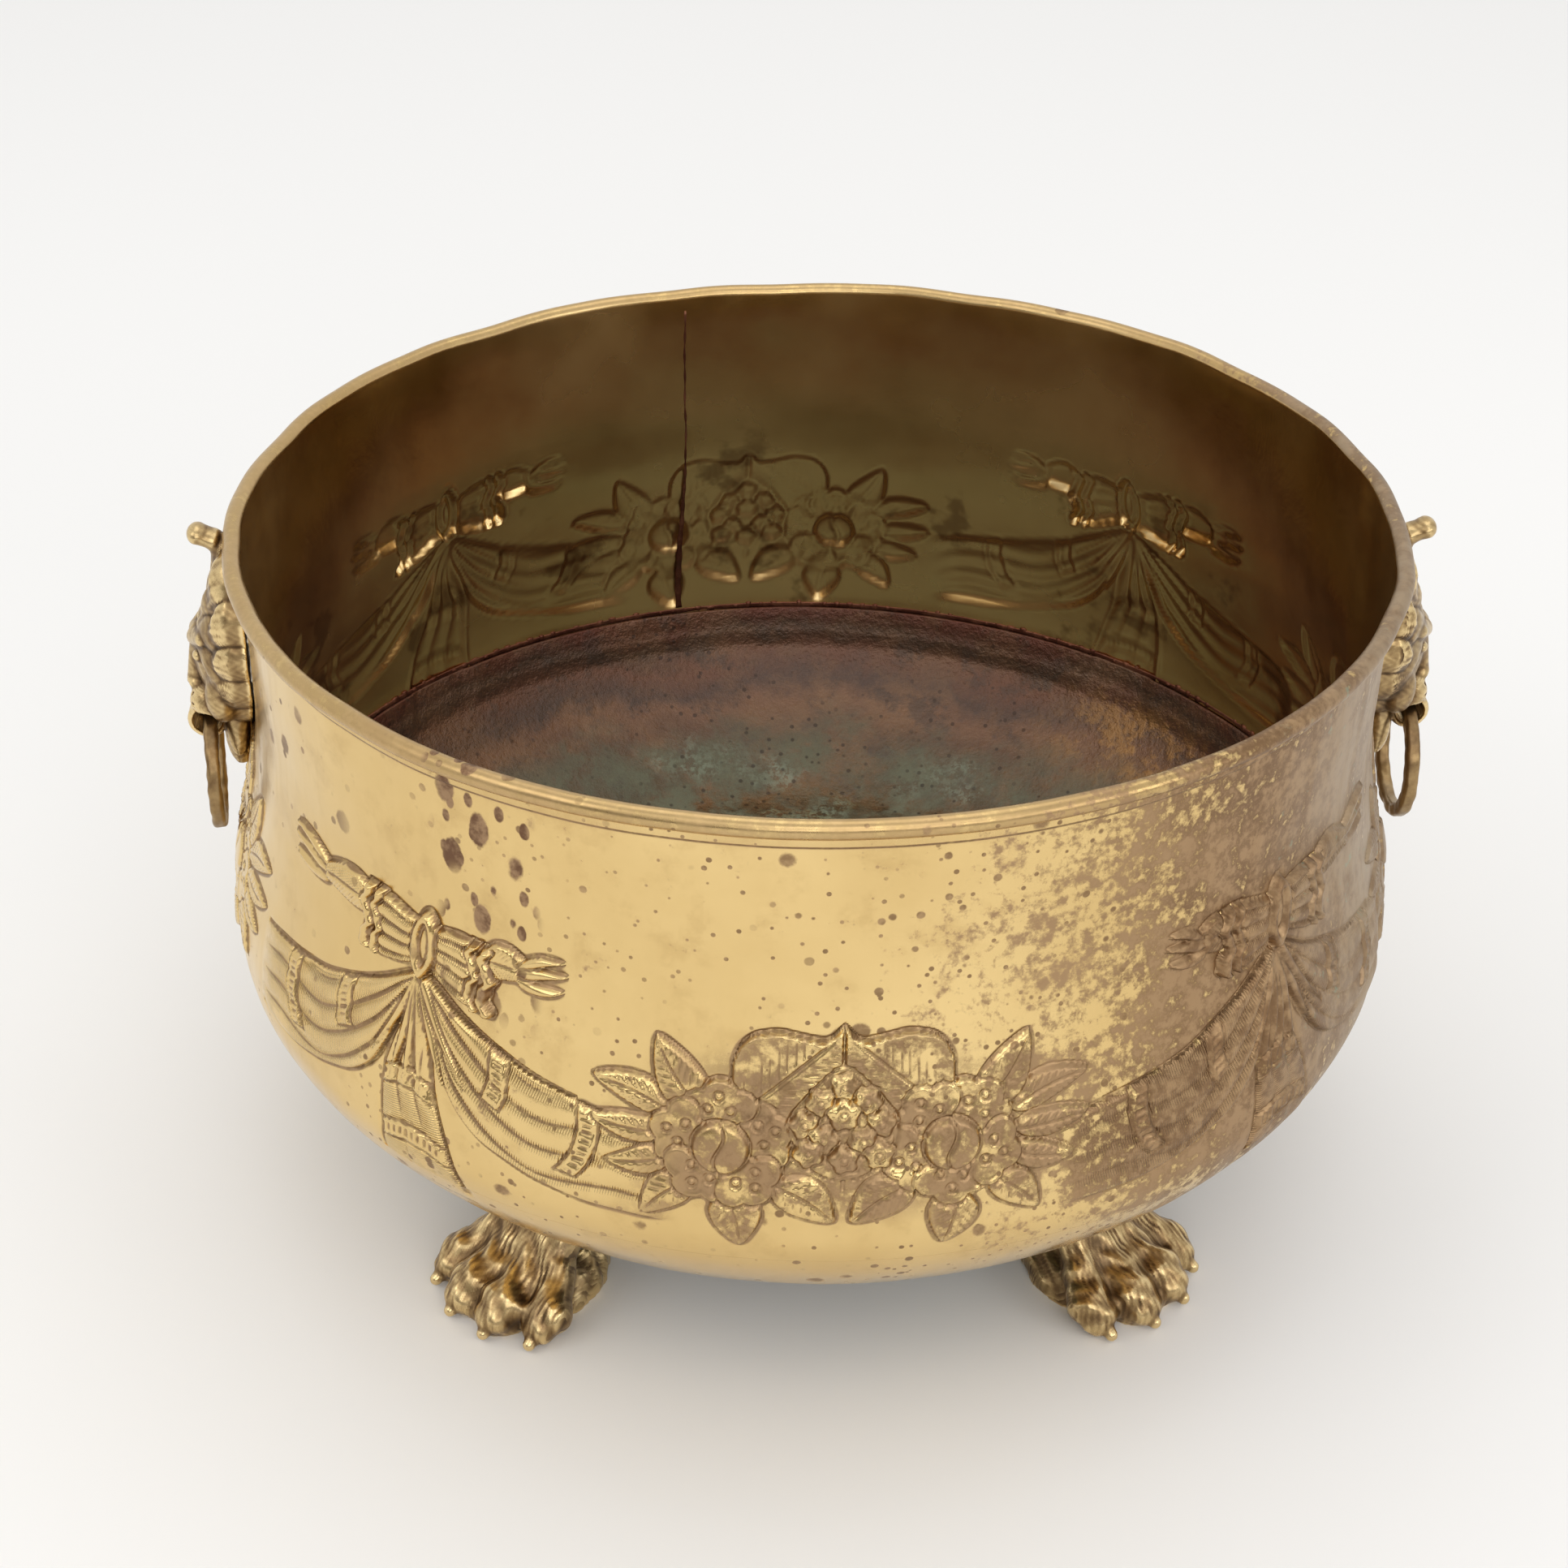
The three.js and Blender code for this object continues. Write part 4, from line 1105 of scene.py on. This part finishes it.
def lion_mask(x, y, z):
    side = np.abs(y)
    at = (x, side, z)
    up = z - MASK_MIDDLE
    turn = np.arctan2(side, up + 1)
    reach = np.hypot(y / MANE_ACROSS, (up - 1) / MANE_UP)
    lock = np.abs(np.sin(5.5 * turn + 2.4 * reach))
    hairs = np.sin(40 * turn + 9 * reach) + 0.6 * np.sin(63 * turn - 7 * reach + 1.0)
    surface = FACE_SURFACE + 4.2 * np.sqrt(np.clip(1 - reach ** 2, 0, 1))
    surface = surface + 2.7 * lock ** 0.8 * ease(reach, 0.4, 0.62)
    surface = surface + 0.09 * hairs * ease(reach, 0.45, 0.6) - 2.2 * ease(reach, 0.86, 1.0)
    field = soft_cut(x - surface, (reach - 0.95 - 0.06 * lock) * 22, 1.2)
    inner_lock = np.abs(np.sin(4.5 * turn + 0.7 - 2.0 * reach))
    ruff = bulb(at, (180.0, 0, 186.5), (9.0, 17.5, 23.5)) - 1.3 * inner_lock * ease(side, 3, 8)
    field = soft_join(field, ruff, 1.0)
    head = bulb(at, (180.5, 0, 182), (11.5, 13.5, 18.5))
    field = soft_join(field, head, 1.2)
    for start, end, thick, thin in FOREHEAD_TUFTS:
        field = soft_join(field, bar(at, start, end, thick, thin), 0.7)
    brow = bar(at, (190.2, 2.6, 188.2), (187.2, 11.0, 191.6), 3.3, 2.4)
    field = soft_join(field, brow, 1.0)
    socket = bulb(at, (194.5, 7.0, 184.4), (4.5, 3.9, 2.7))
    eyeball = bulb(at, (189.3, 6.9, 184.0), (2.3, 2.6, 1.9))
    field = soft_join(soft_cut(field, -socket, 0.8), eyeball, 0.3)
    nose = bar(at, (190.0, 0, 189), (191.6, 0, 173), 2.7, 3.4)
    nose_tip = bulb(at, (192.2, 0, 171.6), (3.0, 4.6, 2.6))
    field = soft_join(soft_join(field, nose, 1.4), nose_tip, 0.8)
    muzzle = bulb(at, (186.5, 5.0, 167.0), (7.6, 6.6, 6.2))
    cheek = bulb(at, (182.5, 12.0, 172.5), (5.6, 6.4, 9.0))
    field = soft_join(soft_join(field, muzzle, 1.2), cheek, 1.4)
    nostril = bulb(at, (195.4, 2.4, 170.6), (1.6, 1.1, 0.9))
    field = soft_cut(field, -nostril, 0.4)
    for spot_y, spot_z in ((6.2, 169.6), (8.2, 166.8), (6.0, 165.4), (9.6, 170.4)):
        field = soft_cut(field, -bulb(at, (194.6, spot_y, spot_z), (3.2, 0.7, 0.7)), 0.3)
    from_hole = np.hypot(x - hinge_right.x, z - hinge_right.z)
    lip = soft_cut(from_hole - LIP_RADIUS - 0.25 * np.sin(y * 1.4) ** 2, side - 7.2, 1.5)
    field = soft_join(field, lip, 1.2)
    beard = bulb(at, (180.0, 0, 155.5), (4.4, 9.0, 12.0)) - 0.7 * np.abs(np.sin(y * 0.55 + z * 0.08))
    field = soft_join(field, beard, 1.0)
    flat_y = y / 1.45
    neck = bar((x, flat_y, z), (179.2, 0, 203), (179.4, 0, 213.5), 2.6, 2.0)
    curl_out = bar((x, flat_y, z), (179.8, 0, 213.0), (182.6, 0, 220.2), 2.0, 2.7)
    tip = bar((x, flat_y, z), (182.6, 0, 220.2), (187.4, 0, 222.2), 2.6, 3.2)
    field = soft_join(field, soft_join(soft_join(neck, curl_out, 1.2), tip, 1.6), 1.5)
    field = soft_cut(field, LIP_HOLE - from_hole, 0.35)
    grain = 0.04 * np.sin(x * 1.9 + 2 * np.sin(z * 0.9)) * np.sin(z * 1.7 + y * 0.6)
    field = np.maximum(field + grain, TO_BOWL - off_bowl(x, y, z))
    return np.maximum(field, mask_back(y, z) - x)


def cast_brass():
    m = Material("cast_brass")
    raised = m.attribute("raised")
    cloud = m.noise(45.0, 5.0, 0.6)
    fine = m.noise(260.0, 5.0, 0.65)
    high = m.plus(m.times(raised, 1.15), m.times(m.minus(fine, 0.5), 0.35))
    high = m.plus(high, m.times(m.minus(cloud, 0.5), 0.45))
    colour = m.ramp(m.step(high, -0.38, 0.42), [
        (0.0, (0.085, 0.052, 0.026)), (0.3, (0.21, 0.130, 0.062)),
        (0.62, (0.40, 0.275, 0.13)), (1.0, (0.78, 0.59, 0.30))])
    colour = m.mix(m.times(m.step(m.noise(30.0, 3.0), 0.58, 0.74), 0.3), colour, (0.36, 0.30, 0.22, 1))
    rough = m.step(high, -0.3, 0.4, 0.44, 0.24)
    normal = m.bump(fine, 0.14, 0.0005)
    return m.finish(colour, rough, normal)


CAST_BRASS = cast_brass()
for side, azimuth in (("left", -90), ("right", 90)):
    mask = carved("lion_mask_" + side + "_casting", lion_mask, *MASK_BLOCK, MASK_STEP, azimuth)
    mask.data.materials.append(CAST_BRASS)
    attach(mask, "planter")
    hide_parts("lion_mask_" + side)


# ---------------------------------------------------------------------------------------------------
# Mask solder. Soft solder run in behind each mask, between the lip round its back and the round wall.
# It shows only as a thin whitish line along the edge.
SOLDER_ACROSS = 21.5
SOLDER_UP = 30.0
MASK_SOLDER_BLOCK = ((166.0, -24.0, 156.0), (177.0, 24.0, 225.0))


def mask_solder(x, y, z):
    wander = 1.2 * np.sin(z * 0.5 + y * 0.3) + 0.8 * np.sin(z * 1.3)
    reach = np.hypot(y / SOLDER_ACROSS, (z - MASK_MIDDLE - 1) / SOLDER_UP)
    pad = (reach - 1) * SOLDER_ACROSS + wander * 0.5
    pad = soft_cut(pad, x - mask_back(y, z) + 0.05, 0.3)
    return np.maximum(pad, 0.15 - off_bowl(x, y, z))


def soft_solder():
    m = Material("soft_solder")
    cloud = m.noise(160.0, 4.0, 0.6)
    colour = m.mix(m.step(cloud, 0.35, 0.65), (0.38, 0.37, 0.34, 1), (0.64, 0.62, 0.58, 1))
    return m.finish(colour, m.step(cloud, 0.3, 0.7, 0.35, 0.5), m.bump(cloud, 0.3, 0.0005), 0.8)


SOFT_SOLDER = soft_solder()
for side, azimuth in (("left", -90), ("right", 90)):
    solder = carved("mask_solder_run_" + side, mask_solder, *MASK_SOLDER_BLOCK, 0.6, azimuth)
    solder.data.materials.append(SOFT_SOLDER)
    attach(solder, "planter")
    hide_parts("mask_solder_" + side)


# ---------------------------------------------------------------------------------------------------
# Ring handles. Square brass bar, bent round, closed through the lion's mouth and hammered, so its
# faces are flats and dents. The left ring hangs a little twisted.
def ring_handle(name, middle, twist, seed):
    n = Nodes(name, {"Ring radius": 0.019, "Bar size": 0.0049, "Hammering": 0.0011, "Seed": seed})
    path = n.node("GeometryNodeCurvePrimitiveCircle", {
        "Resolution": 160, "Radius": n["Ring radius"]}).outputs[0]
    square = n.node("GeometryNodeCurvePrimitiveQuadrilateral", {
        "Width": n["Bar size"], "Height": n["Bar size"]}).outputs[0]
    rounded = n.node("GeometryNodeFilletCurve", {
        "Curve": square, "Radius": 0.0015, "Count": 5}, mode="POLY").outputs[0]
    section = n.node("GeometryNodeResampleCurve", {"Curve": rounded, "Count": 32}).outputs[0]
    ring = n.node("GeometryNodeCurveToMesh", {"Curve": path, "Profile Curve": section}).outputs[0]
    place = n.node("GeometryNodeInputPosition").outputs[0]
    shift = n.node("ShaderNodeVectorMath", {
        0: place, 1: (0.03 * seed, 0.0, 0.0)}, operation="ADD").outputs[0]
    dents = n.node("ShaderNodeTexVoronoi", {
        "Vector": shift, "Scale": 210.0, "Smoothness": 0.35}, feature="SMOOTH_F1").outputs["Distance"]
    waves = n.node("ShaderNodeTexNoise", {"Vector": shift, "Scale": 130.0, "Detail": 2.0}).outputs["Fac"]
    beaten = n.node("ShaderNodeMath", {0: dents, 1: waves}, operation="MULTIPLY").outputs[0]
    depth = n.node("ShaderNodeMath", {0: beaten, 1: n["Hammering"]}, operation="MULTIPLY").outputs[0]
    sunk = n.node("ShaderNodeMath", {0: 0.0, 1: depth}, operation="SUBTRACT").outputs[0]
    normal = n.node("GeometryNodeInputNormal").outputs[0]
    inward = n.node("ShaderNodeVectorMath", {0: normal, "Scale": sunk}, operation="SCALE").outputs[0]
    beaten_ring = n.node("GeometryNodeSetPosition", {"Geometry": ring, "Offset": inward}).outputs[0]
    placed = n.node("GeometryNodeTransform", {
        "Geometry": beaten_ring, "Translation": middle, "Rotation": (0.0, math.pi / 2, twist)}).outputs[0]
    return n.made(placed, CAST_BRASS)


for side, twist, seed in (("left", 0.12, 3), ("right", 0.0, 11)):
    ring_low, ring_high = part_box("ring_" + side)
    ring = ring_handle("ring_" + side + "_bar", (ring_low + ring_high) / 2, twist, seed)
    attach(ring, side + "_ring")
    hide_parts("ring_" + side)


# ---------------------------------------------------------------------------------------------------
# Lion-paw feet. Hollow castings, open behind and below, that spread from an ankle under the pan to a
# low foot with four clawed toes, soft hollows between them, and tufts of fur chased in after casting.
PAW_TO_PAN = 1.5
TOES = ((-20.5, 6.5, 0.92), (-7.2, 0.0, 1.0), (7.2, 0.0, 1.0), (20.5, 6.5, 0.92))
PAW_BLOCK = ((98.0, -31.0, -1.0), (162.0, 31.0, 48.0))
PAW_STEP = 0.55
PAW_BACK = 100
PAW_SOLDER_BLOCK = ((100.0, -21.0, 34.0), (136.0, 21.0, 50.0))
PAW_SOLDER_STEP = 0.8
CORNERS = (("front_left", -45), ("front_right", 45), ("back_right", 135), ("back_left", -135))


def toe_chain(at, spread, back, thick):
    """One toe, from the ankle along its ridge and over the knuckle down to its tip."""
    joints = [
        ((113.0, spread * 0.36, 38.0), 7.0), ((125.0, spread * 0.52, 22.5), 6.4),
        ((136.0 - back * 0.5, spread * 0.78, 13.0), 6.2), ((145.5 - back, spread * 0.98, 8.4), 7.4),
        ((150.0 - back, spread * 1.0, 6.0), 6.4)]
    whole = None
    for (start, a), (end, b) in zip(joints, joints[1:]):
        piece = bar(at, start, end, a * thick, b * thick)
        whole = piece if whole is None else soft_join(whole, piece, 2.4)
    return whole


def paw(x, y, z):
    """The whole casting: four toes on a low foot, chiselled tufts of fur, claws and the hollow."""
    at = (x, y, z)
    instep = bulb(at, (126.0, 0, 1), (26.0, 19.5, 16.5))
    ankle = bulb(at, (114.0, 0, 34), (15.0, 15.0, 22.0))
    body = soft_join(instep, ankle, 7.0)
    for spread, back, thick in TOES:
        body = soft_join(body, toe_chain(at, spread, back, thick * 0.96), 3.8)
    flow = y * (1 + (150 - x) * 0.014) + 0.8 * np.sin(x * 0.34 + y * 0.11)
    flow = flow + 0.5 * np.sin(z * 0.35 + y * 0.5)
    patch = np.sin(x * 0.36 + 1.1 * np.sin(y * 0.27) + 0.9) * np.sin(y * 0.44 + z * 0.25 + 0.7)
    fur = np.abs(np.sin(flow * 1.2 + 1.3 * patch)) - 0.5
    tufts = ease(patch, -0.1, 0.5) * ease(x, 118, 132)
    lumps = np.sin(x * 0.55 + 1.5 * np.sin(y * 0.4)) * np.sin(z * 0.5 + y * 0.35)
    nicks = np.sin(flow * 2.9 + x * 0.5) * np.sin(x * 0.7 + 2.0 * np.sin(y * 0.5))
    body = body - 0.24 * fur * tufts - 0.42 * lumps - 0.06 * nicks
    hollow_ankle = bulb(at, (112.0, 0, 22), (13.0, 12.0, 26.0))
    hollow_instep = bulb(at, (124.0, 0, -2), (24.0, 18.0, 13.0))
    body = soft_cut(body, -soft_join(hollow_ankle, hollow_instep, 4.0), 1.0)
    for spread, back, _ in TOES:
        claw = bar(at, (153.6 - back, spread * 1.03, 4.4), (156.0 - back, spread * 1.05, 3.0), 2.3, 2.0)
        body = soft_join(body, claw, 0.9)
    body = soft_cut(body, PAW_TO_PAN - off_bowl(x, y, z), 0.6)
    return np.maximum(np.maximum(body, 0.02 - z), PAW_BACK - x)


def paw_solder(x, y, z):
    wander = 0.9 * np.sin(y * 0.6) + 0.7 * np.sin(y * 1.4 + 1.0)
    pad = (np.hypot((x - 117) / 13.5, y / 17.0) - 1) * 13 + wander
    pad = soft_cut(pad, off_bowl(x, y, z) - PAW_TO_PAN - 0.25, 0.8)
    return np.maximum(np.maximum(pad, 0.12 - off_bowl(x, y, z)), 20 - z)


for corner, azimuth in CORNERS:
    foot = carved("paw_" + corner + "_casting", paw, *PAW_BLOCK, PAW_STEP, azimuth)
    foot.data.materials.append(CAST_BRASS)
    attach(foot, "planter")
    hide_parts("paw_" + corner)
    fillet = carved("paw_solder_run_" + corner, paw_solder, *PAW_SOLDER_BLOCK, PAW_SOLDER_STEP, azimuth)
    fillet.data.materials.append(SOFT_SOLDER)
    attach(fillet, "planter")
    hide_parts("paw_solder_" + corner)


# ---------------------------------------------------------------------------------------------------
# Stage: a pale floor in a pale tent, dimmer low down on the camera's side, with five soft lights.
# The camera stands in front, a little to the left of the middle, and looks down over the rim.
FLOOR_HALF = 6.0
PALE = (1.0, 0.995, 0.985, 1)
DIM = (0.16, 0.13, 0.10, 1)
TENT_STRENGTH = 0.89


def floor_material():
    m = Material("studio_floor")
    return m.finish((0.87, 0.867, 0.86, 1), 0.75, metallic=0.0)


floor_corners = np.array([(-1, -1, 0), (1, -1, 0), (1, 1, 0), (-1, 1, 0)]) * FLOOR_HALF
floor = mesh_of("floor", floor_corners, [(0, 1, 2, 3)])
floor.data.materials.append(floor_material())

world = bpy.data.worlds.new("studio")
world.use_nodes = True
sky = Builder()
sky.tree = world.node_tree
ways = sky.node("ShaderNodeSeparateXYZ", {"Vector": sky.node("ShaderNodeTexCoord").outputs["Generated"]})
near_side = {"Value": ways.outputs["Y"], "From Min": -0.25, "From Max": -0.80, "To Min": 0.0, "To Max": 1.0}
room_side = sky.node("ShaderNodeMapRange", near_side, interpolation_type="SMOOTHSTEP")
low_down = {"Value": ways.outputs["Z"], "From Min": 0.62, "From Max": 0.30, "To Min": 0.0, "To Max": 0.85}
room_low = sky.node("ShaderNodeMapRange", low_down, interpolation_type="SMOOTHSTEP")
dim = sky.node("ShaderNodeMath", {0: room_side.outputs[0], 1: room_low.outputs[0]}, operation="MULTIPLY")
tent = sky.node("ShaderNodeMix", data_type="RGBA")
sky.plug(tent.inputs[0], dim.outputs[0])
sky.plug(tent.inputs[6], PALE)
sky.plug(tent.inputs[7], DIM)
background = world.node_tree.nodes["Background"]
sky.plug(background.inputs["Color"], tent.outputs[2])
sky.plug(background.inputs["Strength"], TENT_STRENGTH)
bpy.context.scene.world = world
bpy.context.scene.view_settings.view_transform = "Standard"


def soft_light(name, place, aim, size, power):
    data = bpy.data.lights.new(name, "AREA")
    data.shape = "RECTANGLE"
    data.size, data.size_y = size
    data.energy = power
    lamp = bpy.data.objects.new(name, data)
    lamp.location = place
    lamp.rotation_euler = (Vector(aim) - Vector(place)).to_track_quat("-Z", "Y").to_euler()
    bpy.context.scene.collection.objects.link(lamp)


soft_light("key", (-1.5, -0.9, 1.6), (0, 0, 0.12), (1.1, 1.1), 5)
soft_light("overhead", (0.1, 0.5, 2.0), (0, 0, 0.1), (1.6, 1.2), 5)
soft_light("fill", (1.5, -1.2, 0.9), (0, 0, 0.12), (0.8, 0.8), 4)
soft_light("front", (0.2, -2.0, 2.4), (0, -0.3, 0.0), (1.8, 1.2), 9)
soft_light("low_front", (0.3, -2.3, 1.1), (0, -0.2, 0.0), (2.2, 0.7), 10)

CAMERA_AZIMUTH = math.radians(-3.5)
PITCH, YAW, ROLL = 0.5683, -0.0113, 0.018
CAMERA_BACK, CAMERA_UP = 4.3983, 2.2527
forward = Vector((math.sin(YAW) * math.cos(PITCH), math.cos(YAW) * math.cos(PITCH), -math.sin(PITCH)))
level = forward.cross(Vector((0, 0, 1))).normalized()
upward = level.cross(forward)
across = level * math.cos(ROLL) + upward * math.sin(ROLL)
upright = upward * math.cos(ROLL) - level * math.sin(ROLL)
turn = Matrix.Rotation(CAMERA_AZIMUTH, 3, "Z")
axes = turn @ Matrix((across, upright, -forward)).transposed()
data = bpy.data.cameras.new("camera")
data.sensor_width = 36.0
data.lens = 65.1
camera = bpy.data.objects.new("camera", data)
place = turn @ Vector((0, -CAMERA_BACK, CAMERA_UP)) * RIM_RADIUS * MM + Vector((0, 0, RIM_HEIGHT * MM))
camera.matrix_world = Matrix.Translation(place) @ axes.to_4x4()
bpy.context.scene.collection.objects.link(camera)
bpy.context.scene.camera = camera
